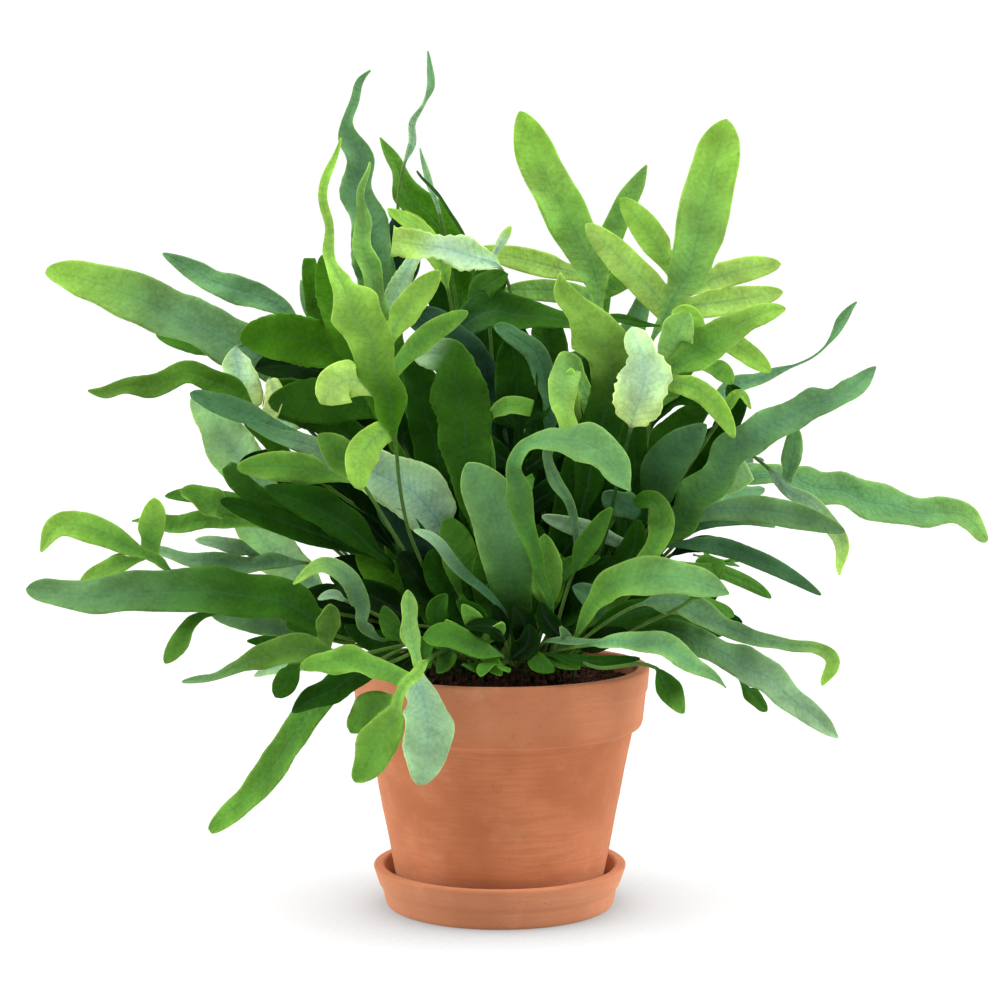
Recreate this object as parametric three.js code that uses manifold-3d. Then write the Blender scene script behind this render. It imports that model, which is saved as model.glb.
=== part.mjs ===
// A blue star fern in a clay pot on its saucer: turned pot and saucer, soil, creeping rhizomes, fronds.
// Millimetres, +Z up, +Y away from the front. The origin is the middle of the saucer's underside.
import * as THREE from 'three';
import { mergeVertices } from 'three/addons/utils/BufferGeometryUtils.js';
import Module from 'manifold-3d';

const wasm = await Module();
wasm.setup();

// Clearance between pieces that rest on each other, and a difference too small to count.
const GAP = 0.3;
const TINY = 1e-6;

// Saucer, a turned shell: its base, the band round its upper part, its wall and floor.
const SAUCER = {
  base: 79.5,
  bandFoot: 82.2,
  bandFootHeight: 12.5,
  band: 84.2,
  bandHeight: 15,
  rim: 88.9,
  height: 29,
  wall: 8,
  floor: 8,
  lipRound: 2.5,
  innerRound: 1,
};

// Pot, a turned shell: a body that widens to its shoulder, then a rim band that leans out to the lip.
const POT = {
  base: 70.5,
  shoulder: 92.5,
  shoulderHeight: 124,
  neck: 3,
  bandFoot: 99.5,
  bandFootHeight: 132,
  crease: 101.8,
  creaseHeight: 151,
  creaseStep: 1,
  creaseRise: 1.5,
  lip: 104.6,
  lipHeight: 168,
  wall: 9,
  floor: 9,
  drain: 9,
  footRound: 2,
  lipRound: 3,
  innerRound: 2,
  stand: SAUCER.floor + GAP,
};
const TURNED_SIDES = 36;

// Soil fills the pot to below the lip, falls a little at its edge and swells in the middle.
const SOIL = { level: 156, mound: 4, moundReach: 45, edgeFall: 2, edgeReach: 6, sides: 24 };

// Rhizomes creep across the soil, half sunk in it: [x, y] of their ends and of the bend between.
// Feet for fronds stand on them in two rows that lean apart.
const RHIZOME = { radius: 6.5, blunt: 8, endShare: 0.06, sides: 10, rings: 9, feet: 18, lean: 28, rise: 1 };
const RHIZOMES = [
  { name: 'rhizome_front', from: [-46, -40], bend: [4, -32], to: [52, -42] },
  { name: 'rhizome_middle', from: [-54, -2], bend: [2, 8], to: [58, 0] },
  { name: 'rhizome_back', from: [-48, 38], bend: [3, 48], to: [54, 36] },
];

// A frond is one thin curved sheet: a round stalk that widens into a blade with a midrib.
const STALK = { halfWidth: 1.2, halfThickness: 1.15, footGap: 0.75, spring: 9, stepLength: 95 };

// The blade has half thicknesses at its edge and midrib, a slight fold, and exponents for how it swells
// from its last lobe to its peak and narrows to its tip.
const BLADE = {
  edge: 0.35,
  rib: 0.55,
  ribReach: 1.4,
  ribRun: 0.6,
  fold: 0.2,
  grow: 0.1,
  peak: 0.45,
  swell: 0.9,
  narrow: 0.6,
  tipRound: 0.7,
  steps: 8,
  spacing: 0.4,
};

// Edges wave up and down: the size is a share of the half width, the phases are in radians.
const WAVE = { size: 0.13, length: 52, start: 0.15, perFrond: 2.4, acrossBlade: 1.9, perLobe: 2 };

// A lobe leaves the blade's edge over a share of its width and grows to its full width.
const LOBE = {
  steps: 4,
  web: 0.8,
  clear: 0.01,
  join: 0.35,
  grow: 0.45,
  narrow: 0.5,
  bendAt: 0.45,
  bendOut: 0.12,
  wing: 3.5,
  tip: 0.5,
};

// Paired lobes of the inner fronds, which grow forward and droop.
const PAIRS = { steps: 3, first: 0.06, last: 0.68, widthShare: 0.42, forward: 38, droop: 0.12, taper: 0.45 };

// A frond's centre line is measured in this many divisions.
const LINE_DIVISIONS = 200;

// The front picture that the fronds' routes are read in: seen level, from slightly above.
const VIEW = { distance: 1700, height: 425, tilt: 4.765, focal: 2460, middle: 500 };

// Leaf colours, from young lime to old blue-green, and the pale undersides.
const TONES = {
  lime: '#96c846',
  bright: '#6cab46',
  mid: '#4f9048',
  blue: '#5f9673',
  dark: '#2f6a3a',
  pale: '#a9d3a4',
  olive: '#71913f',
};

// Each frond grows from a foot of a rhizome, [rhizome, foot]. Its stalk and blade pass through points
// [picture column, picture row, depth behind the pot's axis in mm]. Widths are in mm. A lobe is
// [place along the blade, width, tip, bend on the way]; pairs of lobes are [count, span]. A point says how
// sharply the tip narrows, a web how widely the lobes join the blade, as a share of their width, and a wave
// how much more or less than usual the edges wave.
const FRONDS = [
  {
    name: 'frond_front_left_hanging', root: [0, 0], wave: 0.6, tone: 'bright',
    face: [-0.3, -1, 0.4], stalk: [[408, 650, -70]],
    blade: [[380, 660, -98], [345, 682, -118], [315, 705, -126], [292, 738, -128], [271, 772, -126],
      [242, 803, -122], [210, 831, -118]],
    widths: [2.4, 15, 20, 21, 21, 16, 4]
  },
  {
    name: 'frond_left_pale_olive', root: [0, 1], tone: 'olive',
    face: [0, -1, 0.8], stalk: [[405, 632, -34], [340, 614, -48]],
    blade: [[260, 604, -62], [208, 614, -74], [192, 624, -80], [178, 643, -84], [166, 664, -86]],
    widths: [2.4, 5, 9, 13, 1]
  },
  {
    name: 'frond_front_five_lobed', root: [0, 4], wave: 1.5, width: 26, tone: 'lime',
    face: [0, -1, 0.3], stalk: [[452, 650, -76]],
    blade: [[428, 660, -112], [408, 682, -132], [390, 722, -142], [372, 755, -144], [355, 782, -142]],
    lobes: [[0.1, 15, [408, 590, -122]], [0.26, 19, [300, 668, -150], [350, 652, -142]],
      [0.45, 22, [351, 733, -128], [368, 702, -128]], [0.24, 32, [418, 785, -158], [438, 725, -152]]]
  },
  {
    name: 'frond_left_big_strap', root: [0, 3], wave: 0.35, tone: 'dark',
    face: [0, -1, 0.7], stalk: [[400, 640, -46]],
    blade: [[340, 637, -62], [290, 605, -72], [230, 594, -80], [160, 592, -84], [95, 597, -86],
      [50, 593, -86], [26, 589, -86]],
    widths: [2.4, 30, 34, 31, 28, 19, 1]
  },
  {
    name: 'frond_front_left_dark', root: [0, 2], width: 23, tone: 'dark',
    face: [0, -1, 0.8], stalk: [[420, 652, -86]],
    blade: [[392, 662, -112], [365, 672, -126], [330, 690, -138], [292, 712, -146]]
  },
  {
    name: 'frond_left_olive_lobed', root: [0, 5], tone: 'olive',
    face: [0, -1, 0.5], stalk: [[424, 644, -60]],
    blade: [[345, 656, -88], [302, 649, -100], [262, 656, -112], [236, 669, -118], [210, 678, -121],
      [182, 682, -122]],
    widths: [2.4, 20, 17, 9, 6, 1],
    lobes: [[0.14, 17, [330, 604, -96]], [0.34, 16, [275, 697, -112]]]
  },
  {
    name: 'frond_left_curling', root: [0, 7], width: 14, tone: 'blue',
    face: [-0.4, -1, 0.3], stalk: [[424, 626, -44]],
    blade: [[384, 640, -60], [364, 622, -76], [362, 605, -86], [350, 580, -92], [322, 565, -94],
      [293, 584, -96]]
  },
  {
    name: 'frond_young_left', root: [0, 6], width: 15, tone: 'bright',
    face: [0, -1, 0.8], stalk: [],
    blade: [[468, 656, -52], [450, 645, -55], [423, 637, -62]],
    lobes: [[0.4, 10, [452, 628, -62]]]
  },
  {
    name: 'frond_centre_grey_strap', root: [0, 9], wave: 0.5, tone: 'blue',
    face: [0, -1, 0.1], stalk: [],
    blade: [[512, 640, -48], [512, 600, -66], [506, 550, -92], [490, 500, -104], [467, 463, -110]],
    widths: [2.4, 26, 36, 33, 1]
  },
  {
    name: 'frond_young_centre', root: [0, 8], width: 13, tone: 'bright',
    face: [0, -1, 0.5], stalk: [],
    blade: [[482, 655, -72], [478, 632, -86], [463, 604, -98]],
    lobes: [[0.25, 11, [446, 620, -96]], [0.3, 11, [502, 622, -98]]]
  },
  {
    name: 'frond_young_over_rim', root: [0, 10], width: 11, tone: 'mid',
    face: [0, -1, 1], stalk: [],
    blade: [[505, 662, -78], [492, 664, -98], [480, 676, -122]],
    lobes: [[0.5, 8, [508, 672, -116]]]
  },
  {
    name: 'frond_centre_arching_mint', root: [0, 11], tone: 'pale',
    face: [0, -1, 0.6], stalk: [],
    blade: [[552, 625, -62], [542, 580, -84], [527, 530, -104], [519, 495, -112], [514, 466, -120],
      [528, 446, -128], [555, 440, -134], [585, 444, -140], [612, 463, -144], [631, 491, -146]],
    widths: [2.4, 8, 12, 17, 10, 10, 20, 28, 21, 1], point: 1.3
  },
  {
    name: 'frond_front_right_bright', root: [0, 13], wave: 0.3, point: 1.0, tone: 'bright',
    face: [0, -1, 0.5], stalk: [],
    blade: [[573, 640, -70], [592, 606, -98], [614, 584, -114], [650, 577, -128], [692, 581, -138],
      [729, 594, -144]],
    widths: [2.4, 11, 22, 27, 21, 1],
    lobes: [[0.76, 10, [771, 598, -122], [742, 574, -124]]]
  },
  {
    name: 'frond_right_drooping_tip', root: [0, 15], wave: 1.6, point: 0.7, tone: 'mid',
    face: [0, -1, 0.7], stalk: [[582, 640, -78]],
    blade: [[636, 606, -92], [670, 602, -99], [700, 614, -104], [733, 632, -108], [760, 638, -111],
      [788, 647, -114], [814, 646, -116], [830, 660, -116], [824, 686, -114]],
    widths: [2.4, 19, 22, 13, 10, 9, 8, 9, 1]
  },
  {
    name: 'frond_front_right_low', root: [0, 14], width: 18, point: 0.9, tone: 'bright',
    face: [0, -1, 0.7], stalk: [[555, 652, -80]],
    blade: [[590, 645, -108], [630, 642, -130], [670, 650, -142], [700, 668, -148], [726, 688, -150]]
  },
  {
    name: 'frond_right_big_blue', root: [0, 17], point: 0.9, tone: 'blue',
    face: [0.1, -1, 0.7], stalk: [[580, 654, -44]],
    blade: [[622, 638, -60], [670, 632, -78], [700, 643, -86], [733, 661, -92], [767, 679, -96],
      [800, 706, -98], [838, 738, -98]],
    widths: [2.4, 16, 23, 26, 23, 17, 1],
    lobes: [[0.56, 11, [767, 711, -104]]]
  },
  {
    name: 'frond_front_right_hanging', root: [0, 16], width: 16, tone: 'dark',
    face: [0.2, -1, 0.3], stalk: [[568, 658, -86], [602, 668, -116], [640, 664, -126]],
    blade: [[656, 668, -128], [668, 690, -128], [684, 713, -126]]
  },
  {
    name: 'frond_left_lime_lobed', root: [1, 0], width: 20, tone: 'lime',
    face: [0, -1, 0.6], stalk: [[400, 618, -14], [290, 600, -32], [220, 592, -42]],
    blade: [[172, 572, -48], [150, 556, -52], [120, 543, -54], [85, 526, -56], [60, 527, -56],
      [40, 551, -56]],
    lobes: [[0.2, 18, [154, 498, -56]], [0.24, 14, [80, 582, -48], [115, 565, -48]]]
  },
  {
    name: 'frond_left_grey_straps', root: [1, 1], tone: 'blue',
    face: [0, -1, 0.8], stalk: [[400, 606, -8], [345, 575, -18]],
    blade: [[305, 563, -24], [260, 564, -28], [205, 562, -30], [172, 555, -30], [142, 546, -30]],
    widths: [5, 14, 14, 9, 1],
    lobes: [[0.3, 12, [195, 540, -34], [240, 545, -32]]]
  },
  {
    name: 'frond_left_middle_lobed', root: [1, 2], wave: 1.5, width: 15, point: 0.9, tone: 'bright',
    face: [0, -1, 0.6], stalk: [[410, 590, -6], [335, 545, -10]],
    blade: [[275, 527, -14], [215, 522, -18], [165, 523, -20], [132, 521, -20]],
    lobes: [[0.28, 22, [180, 490, -30], [215, 505, -28]], [0.05, 15, [165, 496, -6], [235, 492, -8]]]
  },
  {
    name: 'frond_left_dark_straps', root: [1, 3], width: 27, tone: 'dark',
    face: [0, -1, 0.6], stalk: [[440, 625, -12]],
    blade: [[425, 607, -20], [380, 555, -42], [330, 515, -58], [265, 487, -68]],
    lobes: [[0.4, 18, [220, 500, -62], [285, 522, -60]]]
  },
  {
    name: 'frond_left_broad_blue', root: [1, 7], tone: 'blue',
    face: [0, -1, 0.5], stalk: [[470, 590, 0]],
    blade: [[447, 538, -12], [420, 500, -22], [378, 474, -32], [318, 450, -40], [247, 425, -46]],
    widths: [24, 46, 34, 15, 3],
    lobes: [[0.55, 21, [237, 468, -58], [292, 462, -56]], [0.8, 17, [190, 393, -36], [225, 408, -36]]]
  },
  {
    name: 'frond_upper_left_dark_lobed', root: [1, 5], width: 29, tone: 'dark',
    face: [0.1, -1, 0.3], stalk: [[440, 540, -2]],
    blade: [[408, 470, -8], [388, 432, -12], [370, 392, -18], [352, 358, -24], [340, 312, -28],
      [322, 255, -30]],
    lobes: [[0.33, 32, [268, 402, -30], [325, 398, -26]], [0.54, 34, [240, 340, -40], [295, 325, -36]]]
  },
  {
    name: 'frond_left_wavy', root: [1, 4], wave: 1.2, point: 1.0, tone: 'olive',
    face: [0, -1, 0.5], stalk: [[430, 560, 6]],
    blade: [[340, 495, 6], [268, 440, 2], [230, 390, -4], [190, 374, -8], [150, 386, -10],
      [115, 390, -12], [88, 391, -14]],
    widths: [2.4, 12, 16, 17, 16, 12, 1]
  },
  {
    name: 'frond_upper_left_lime_lobed', root: [1, 6], wave: 1.6, point: 1.2, tone: 'lime',
    face: [0.1, -1, 0.2], stalk: [[434, 600, -24], [425, 572, -36], [408, 528, -52], [400, 488, -62]],
    blade: [[396, 448, -68], [388, 400, -74], [372, 350, -78], [355, 310, -78], [338, 284, -76],
      [332, 258, -72], [327, 226, -68], [325, 185, -62], [341, 138, -56]],
    widths: [3, 22, 28, 33, 15, 8, 6, 6, 1],
    lobes: [[0.06, 22, [362, 490, -84], [349, 446, -82]], [0.22, 29, [321, 404, -86], [344, 370, -84]],
      [0.24, 15, [468, 312, -76], [425, 330, -78]], [0.34, 19, [440, 271, -84], [404, 308, -84]]]
  },
  {
    name: 'frond_centre_olive', root: [1, 8], tone: 'olive',
    face: [0, -1, 0.2], stalk: [],
    blade: [[488, 560, -28], [475, 500, -50], [466, 440, -62], [460, 394, -66], [449, 361, -66],
      [414, 351, -58]],
    widths: [2.4, 22, 36, 38, 26, 4]
  },
  {
    name: 'frond_centre_lime_strap', root: [1, 11], point: 1.2, tone: 'bright',
    face: [0, -1, 0.1], stalk: [[565, 590, -18]],
    blade: [[578, 530, -34], [590, 475, -48], [604, 420, -58], [613, 372, -64], [597, 335, -66],
      [572, 305, -64], [559, 273, -60]],
    widths: [2.4, 20, 28, 29, 34, 17, 1],
    lobes: [[0.36, 15, [572, 368, -76], [562, 412, -74]]]
  },
  {
    name: 'frond_centre_right_pale', root: [1, 13], tone: 'pale',
    face: [-0.3, -1, 0], stalk: [[576, 600, -26], [604, 540, -50], [618, 480, -66]],
    blade: [[631, 428, -78], [639, 402, -84], [646, 377, -86], [641, 350, -86], [632, 327, -84]],
    widths: [19, 32, 39, 22, 1]
  },
  {
    name: 'frond_middle_dark_strap', root: [1, 9], tone: 'dark',
    face: [0, -1, 0.6], stalk: [[492, 540, 12]],
    blade: [[455, 420, 12], [450, 345, 8], [482, 314, 2], [520, 314, -6], [572, 322, -16],
      [616, 320, -20], [660, 325, -22]],
    widths: [2.4, 20, 26, 25, 13, 7, 1], point: 1.2,
    lobes: [[0.42, 20, [508, 274, -2], [478, 288, 2]]]
  },
  {
    name: 'frond_right_centre_lobed', root: [1, 12], width: 29, tone: 'blue',
    face: [0, -1, 0.4], stalk: [[580, 600, -14]],
    blade: [[612, 560, -24], [645, 520, -34], [664, 470, -42], [682, 445, -46], [707, 425, -48]],
    lobes: [[0.12, 14, [542, 516, -48], [590, 530, -42]], [0.34, 20, [604, 492, -52]]]
  },
  {
    name: 'frond_right_rising_lobed', root: [1, 14], wave: 1.5, point: 1.0, tone: 'blue',
    face: [0, -1, 0.5], stalk: [[585, 620, -8], [622, 588, -16]],
    blade: [[655, 555, -22], [682, 518, -28], [712, 480, -32], [738, 447, -32], [790, 416, -30],
      [845, 393, -28], [877, 368, -26]],
    widths: [2.4, 23, 25, 24, 23, 18, 1],
    lobes: [[0.22, 19, [845, 532, -50], [765, 500, -44]], [0.06, 13, [821, 595, -56], [735, 535, -44]]]
  },
  {
    name: 'frond_right_small_lobed', root: [1, 16], width: 13, tone: 'lime',
    face: [0, -1, 0.4], stalk: [[600, 610, 6], [660, 540, 10], [712, 470, 6], [742, 452, 2]],
    blade: [[768, 468, 0], [790, 492, -4], [820, 512, -8], [840, 545, -10], [841, 575, -10]],
    lobes: [[0.16, 14, [795, 426, 0]]]
  },
  {
    name: 'frond_far_right', root: [1, 17], wave: 0.7, tone: 'blue',
    face: [0, -1, 0.8], stalk: [[600, 620, 16], [670, 550, 30]],
    blade: [[725, 490, 40], [770, 476, 46], [820, 488, 52], [870, 501, 56], [920, 514, 60],
      [960, 515, 62], [987, 541, 62]],
    widths: [2.4, 20, 28, 31, 26, 21, 3]
  },
  {
    name: 'frond_right_lime_low', root: [1, 15], tone: 'lime',
    face: [0, -1, 0.6], stalk: [[586, 570, -4], [640, 470, -14]],
    blade: [[655, 398, -24], [672, 368, -28], [696, 352, -31], [724, 336, -33], [752, 317, -35],
      [786, 310, -36]],
    widths: [2.4, 14, 28, 24, 17, 1], web: 1.15,
    lobes: [[0.3, 24, [690, 313, -30], [674, 336, -30]], [0.62, 14, [771, 372, -42], [746, 352, -38]],
      [0.43, 13, [732, 384, -42], [722, 368, -38]], [0.14, 15, [734, 438, -46], [716, 386, -42]]]
  },
  {
    name: 'frond_left_upper_long', root: [2, 0], wave: 0.3, tone: 'bright',
    face: [-0.1, -1, 0.5], stalk: [[430, 560, 40]],
    blade: [[340, 430, 44], [272, 364, 44], [240, 348, 44], [190, 324, 44], [140, 300, 44],
      [90, 282, 44], [46, 271, 44]],
    widths: [2.4, 27, 37, 38, 36, 28, 4]
  },
  {
    name: 'frond_left_back_lobed', root: [2, 1], width: 21, tone: 'blue',
    face: [0, -1, 0.5], stalk: [[430, 570, 56]],
    blade: [[350, 430, 76], [305, 350, 88], [280, 307, 94], [240, 292, 98], [200, 275, 102],
      [163, 253, 104]],
    lobes: [[0.43, 23, [156, 333, 88], [215, 352, 84]], [0.14, 24, [262, 430, 92]]]
  },
  {
    name: 'frond_top_left_tall', root: [2, 4], wave: 1.5, tone: 'blue',
    face: [0, -1, 0.1], stalk: [[448, 540, 48]],
    blade: [[410, 420, 50], [388, 345, 50], [375, 260, 50], [362, 200, 48], [354, 150, 46],
      [349, 115, 44], [357, 90, 42], [370, 70, 40]],
    widths: [3, 24, 30, 24, 19, 7, 6, 1], point: 1.4,
    lobes: [[0.37, 28, [402, 210, 62], [402, 262, 60]]]
  },
  {
    name: 'frond_top_left_lime', root: [2, 5], tone: 'lime',
    face: [0.3, -1, 0.1], stalk: [[450, 540, 30]],
    blade: [[400, 390, 20], [378, 305, 10], [368, 268, 6], [362, 228, 2], [362, 195, -2],
      [369, 162, -4]],
    widths: [2.4, 15, 15, 12, 5, 1], point: 1.2
  },
  {
    name: 'frond_top_twisted', root: [2, 6], tone: 'blue',
    face: [0.8, -1, 0.1], stalk: [[452, 480, 74], [425, 340, 84], [398, 215, 90]],
    blade: [[404, 165, 90], [412, 143, 90], [412, 122, 90], [424, 102, 90], [431, 85, 90],
      [427, 51, 90]],
    widths: [2.4, 7, 6, 3, 6.5, 1], point: 1.2
  },
  {
    name: 'frond_top_dark', root: [2, 7], tone: 'dark',
    face: [0.3, -1, 0.1], stalk: [[475, 500, 88]],
    blade: [[468, 350, 102], [456, 270, 108], [446, 238, 110], [430, 217, 112], [409, 197, 114],
      [395, 165, 114], [381, 137, 114]],
    widths: [2.4, 26, 26, 27, 24, 11, 1], point: 1.2,
    lobes: [[0.48, 16, [388, 211, 98], [420, 226, 98]]]
  },
  {
    name: 'frond_top_pale_folded', root: [2, 8], tone: 'pale',
    face: [0, -1, 0.3], stalk: [[495, 500, 34], [516, 350, 32]],
    blade: [[502, 270, 29], [482, 260, 27], [462, 254, 25], [430, 247, 23], [392, 242, 20]],
    widths: [3, 17, 26, 21, 22],
    lobes: [[0.8, 14, [381, 330, 18], [396, 288, 16]], [0.12, 7, [511, 226, 30]]]
  },
  {
    name: 'frond_top_middle_lobed', root: [2, 10], wave: 0.3, point: 0.75, web: 1.15, tone: 'lime',
    face: [0, -1, 0.2], stalk: [[560, 530, 50]],
    blade: [[585, 410, 60], [592, 335, 64], [598, 302, 66], [590, 262, 66], [565, 215, 64],
      [540, 165, 62], [520, 111, 60]],
    widths: [2.4, 7, 8, 26, 32, 30, 1],
    lobes: [[0.455, 18, [478, 249, 52], [535, 262, 58]], [0.36, 16, [503, 291, 52], [550, 287, 58]],
      [0.39, 16, [641, 269, 72]], [0.14, 22, [532, 372, 52]], [0.2, 22, [648, 345, 84]]]
  },
  {
    name: 'frond_top_behind', root: [2, 12], wave: 0.3, point: 1.0, tone: 'mid',
    face: [0, -1, 0.2], stalk: [[580, 520, 90]],
    blade: [[598, 380, 108], [602, 270, 116], [611, 236, 118], [625, 205, 118], [647, 165, 118]],
    widths: [2.4, 18, 18, 16, 1]
  },
  {
    name: 'frond_top_right_lobed', root: [2, 11], wave: 0.3, point: 0.75, web: 1.15, tone: 'lime',
    face: [0, -1, 0.3], stalk: [[570, 560, 26], [612, 460, 20]],
    blade: [[648, 349, 12], [665, 315, 8], [676, 294, 6], [686, 277, 4], [702, 215, 0], [717, 160, -2],
      [727, 119, -4]],
    widths: [2.4, 8, 17, 28, 36, 32, 1],
    lobes: [[0.365, 20, [621, 198, 6], [652, 234, 2]], [0.2, 22, [586, 224, 8], [630, 266, 6]],
      [0.343, 18, [781, 264, -6], [735, 268, -2]], [0.215, 19, [783, 292, -8], [728, 303, -2]]]
  },
  {
    name: 'frond_right_back_thin', root: [2, 15], tone: 'mid',
    face: [0, -1, 0.7], stalk: [[600, 560, 54], [652, 480, 72]],
    blade: [[700, 420, 88], [735, 387, 94], [765, 376, 98], [798, 364, 102], [823, 349, 104],
      [841, 323, 106], [857, 302, 106]],
    widths: [2.4, 14, 9, 1.6, 1.6, 8, 1], point: 1.2
  },
  {
    name: 'frond_centre_round', root: [0, 12], width: 23, tone: 'bright',
    face: [0, -1, 0.3], stalk: [],
    blade: [[546, 610, -58], [545, 575, -68], [545, 534, -74]]
  },
  {
    name: 'frond_inner_middle', root: [1, 10], width: 30, tone: 'dark',
    face: [0, -1, 0.2], stalk: [],
    blade: [[511, 610, -8], [514, 560, -14], [518, 500, -20], [520, 440, -24], [516, 385, -24],
      [512, 335, -22]],
    pairs: [5, 50]
  },
  {
    name: 'frond_inner_left', root: [2, 2], width: 30, tone: 'dark',
    face: [0, -1, 0.2], stalk: [],
    blade: [[445, 610, 68], [425, 545, 96], [405, 480, 112], [386, 420, 120], [372, 362, 124]],
    pairs: [5, 72]
  },
  {
    name: 'frond_inner_right', root: [2, 14], width: 30, tone: 'dark',
    face: [0, -1, 0.2], stalk: [],
    blade: [[570, 610, 72], [590, 545, 112], [612, 480, 134], [632, 420, 146], [645, 360, 150]],
    pairs: [5, 50]
  },
  {
    name: 'frond_back_middle', root: [2, 9], width: 33, tone: 'mid',
    face: [0, 0.3, 1], stalk: [[508, 590, 90]],
    blade: [[506, 510, 125], [505, 455, 165], [508, 430, 205], [510, 440, 245], [512, 490, 275]],
    pairs: [4, 72]
  },
  {
    name: 'frond_back_left_low', root: [2, 3], width: 30, tone: 'bright',
    face: [-0.2, 0.3, 1], stalk: [[458, 620, 88]],
    blade: [[432, 588, 130], [402, 575, 175], [378, 585, 215], [362, 620, 245]],
    pairs: [3, 62]
  },
  {
    name: 'frond_back_right_low', root: [2, 13], width: 30, tone: 'bright',
    face: [0.2, 0.3, 1], stalk: [[556, 620, 88]],
    blade: [[582, 588, 130], [614, 575, 175], [636, 585, 215], [650, 620, 245]],
    pairs: [3, 62]
  },
  {
    name: 'frond_back_right_high', root: [2, 16], width: 30, tone: 'blue',
    face: [0.2, 0.3, 1], stalk: [[600, 596, 75], [652, 555, 112]],
    blade: [[690, 510, 150], [714, 472, 190], [730, 456, 225], [742, 470, 255]],
    pairs: [3, 55]
  },
  {
    name: 'frond_back_right_side', root: [2, 17], width: 26, tone: 'mid',
    face: [0.2, 0, 1], stalk: [[600, 620, 56]],
    blade: [[646, 598, 68], [684, 576, 98], [712, 560, 130], [732, 562, 158]],
    pairs: [3, 42]
  },
];

// The point in mm that a picture point with a depth stands for.
function seen([across, down, depth]) {
  const right = (across - VIEW.middle) / VIEW.focal;
  const rise = (VIEW.middle - down) / VIEW.focal;
  const tilt = THREE.MathUtils.degToRad(VIEW.tilt);
  const ahead = Math.cos(tilt) + rise * Math.sin(tilt);
  const lift = rise * Math.cos(tilt) - Math.sin(tilt);
  const reach = (depth + VIEW.distance) / ahead;
  return new THREE.Vector3(right * reach, depth, VIEW.height + lift * reach);
}

function smooth(share) {
  const inside = Math.min(1, Math.max(0, share));
  return inside * inside * (3 - 2 * inside);
}

// A solid mesh with its shared vertices merged, so that it is one closed surface.
function closed(geometry) {
  geometry.deleteAttribute('normal');
  geometry.deleteAttribute('uv');
  return mergeVertices(geometry);
}

function toManifold(geometry) {
  const mesh = new wasm.Mesh({
    numProp: 3,
    vertProperties: Float32Array.from(geometry.attributes.position.array),
    triVerts: Uint32Array.from(geometry.index.array),
  });
  return new wasm.Manifold(mesh);
}

function fromArrays(positions, triangles) {
  const geometry = new THREE.BufferGeometry();
  geometry.setAttribute('position', new THREE.Float32BufferAttribute(positions, 3));
  geometry.setIndex(triangles);
  return geometry;
}

// A solid of revolution about +Z from an outline of [radius, height] points, given bottom to top outside.
function turned(outline, sides) {
  const geometry = new THREE.LatheGeometry(outline.map(([r, z]) => new THREE.Vector2(r, z)), sides);
  return closed(geometry.rotateX(Math.PI / 2));
}

function saucerGeometry() {
  const s = SAUCER;
  const innerRim = s.rim - s.wall;
  return turned([
    [0, 0],
    [s.base, 0],
    [s.bandFoot, s.bandFootHeight],
    [s.band, s.bandHeight],
    [s.rim, s.height - s.lipRound],
    [s.rim - s.lipRound, s.height],
    [innerRim + s.innerRound, s.height],
    [innerRim - s.innerRound, s.height - s.lipRound],
    [s.base - s.wall + s.innerRound, s.floor],
    [0, s.floor],
  ], TURNED_SIDES);
}

// The pot's inner wall radius at a height above its own foot.
function potInner(height) {
  const lower = POT.base - POT.wall;
  const upper = POT.lip - POT.wall;
  return lower + (upper - lower) * (height / (POT.lipHeight - POT.stand));
}

function potGeometry() {
  const p = POT;
  return turned([
    [p.drain, p.stand],
    [p.base - p.footRound, p.stand],
    [p.base, p.stand + p.footRound],
    [p.shoulder, p.shoulderHeight],
    [p.bandFoot - p.neck, p.shoulderHeight + p.neck],
    [p.bandFoot, p.bandFootHeight],
    [p.crease, p.creaseHeight],
    [p.crease + p.creaseStep, p.creaseHeight + p.creaseRise],
    [p.lip, p.lipHeight - p.lipRound],
    [p.lip - p.lipRound, p.lipHeight],
    [p.lip - p.wall + p.innerRound, p.lipHeight],
    [p.lip - p.wall, p.lipHeight - p.innerRound],
    [potInner(p.floor), p.stand + p.floor],
    [p.drain, p.stand + p.floor],
    [p.drain, p.stand],
  ], TURNED_SIDES);
}

// A rhizome's centre line, direction and radius at a place from 0 to 1 along it. Both ends round off.
function rhizomeAt(rhizome, place) {
  const bend = new THREE.QuadraticBezierCurve(
    new THREE.Vector2(...rhizome.from),
    new THREE.Vector2(...rhizome.bend),
    new THREE.Vector2(...rhizome.to),
  );
  const flat = bend.getPoint(place);
  const way = bend.getTangent(place);
  const fullness = 1 - Math.abs(2 * place - 1) ** RHIZOME.blunt;
  return {
    centre: new THREE.Vector3(flat.x, flat.y, SOIL.level + RHIZOME.rise),
    way: new THREE.Vector3(way.x, way.y, 0),
    radius: RHIZOME.radius * Math.sqrt(Math.max(RHIZOME.endShare, fullness)),
  };
}

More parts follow.
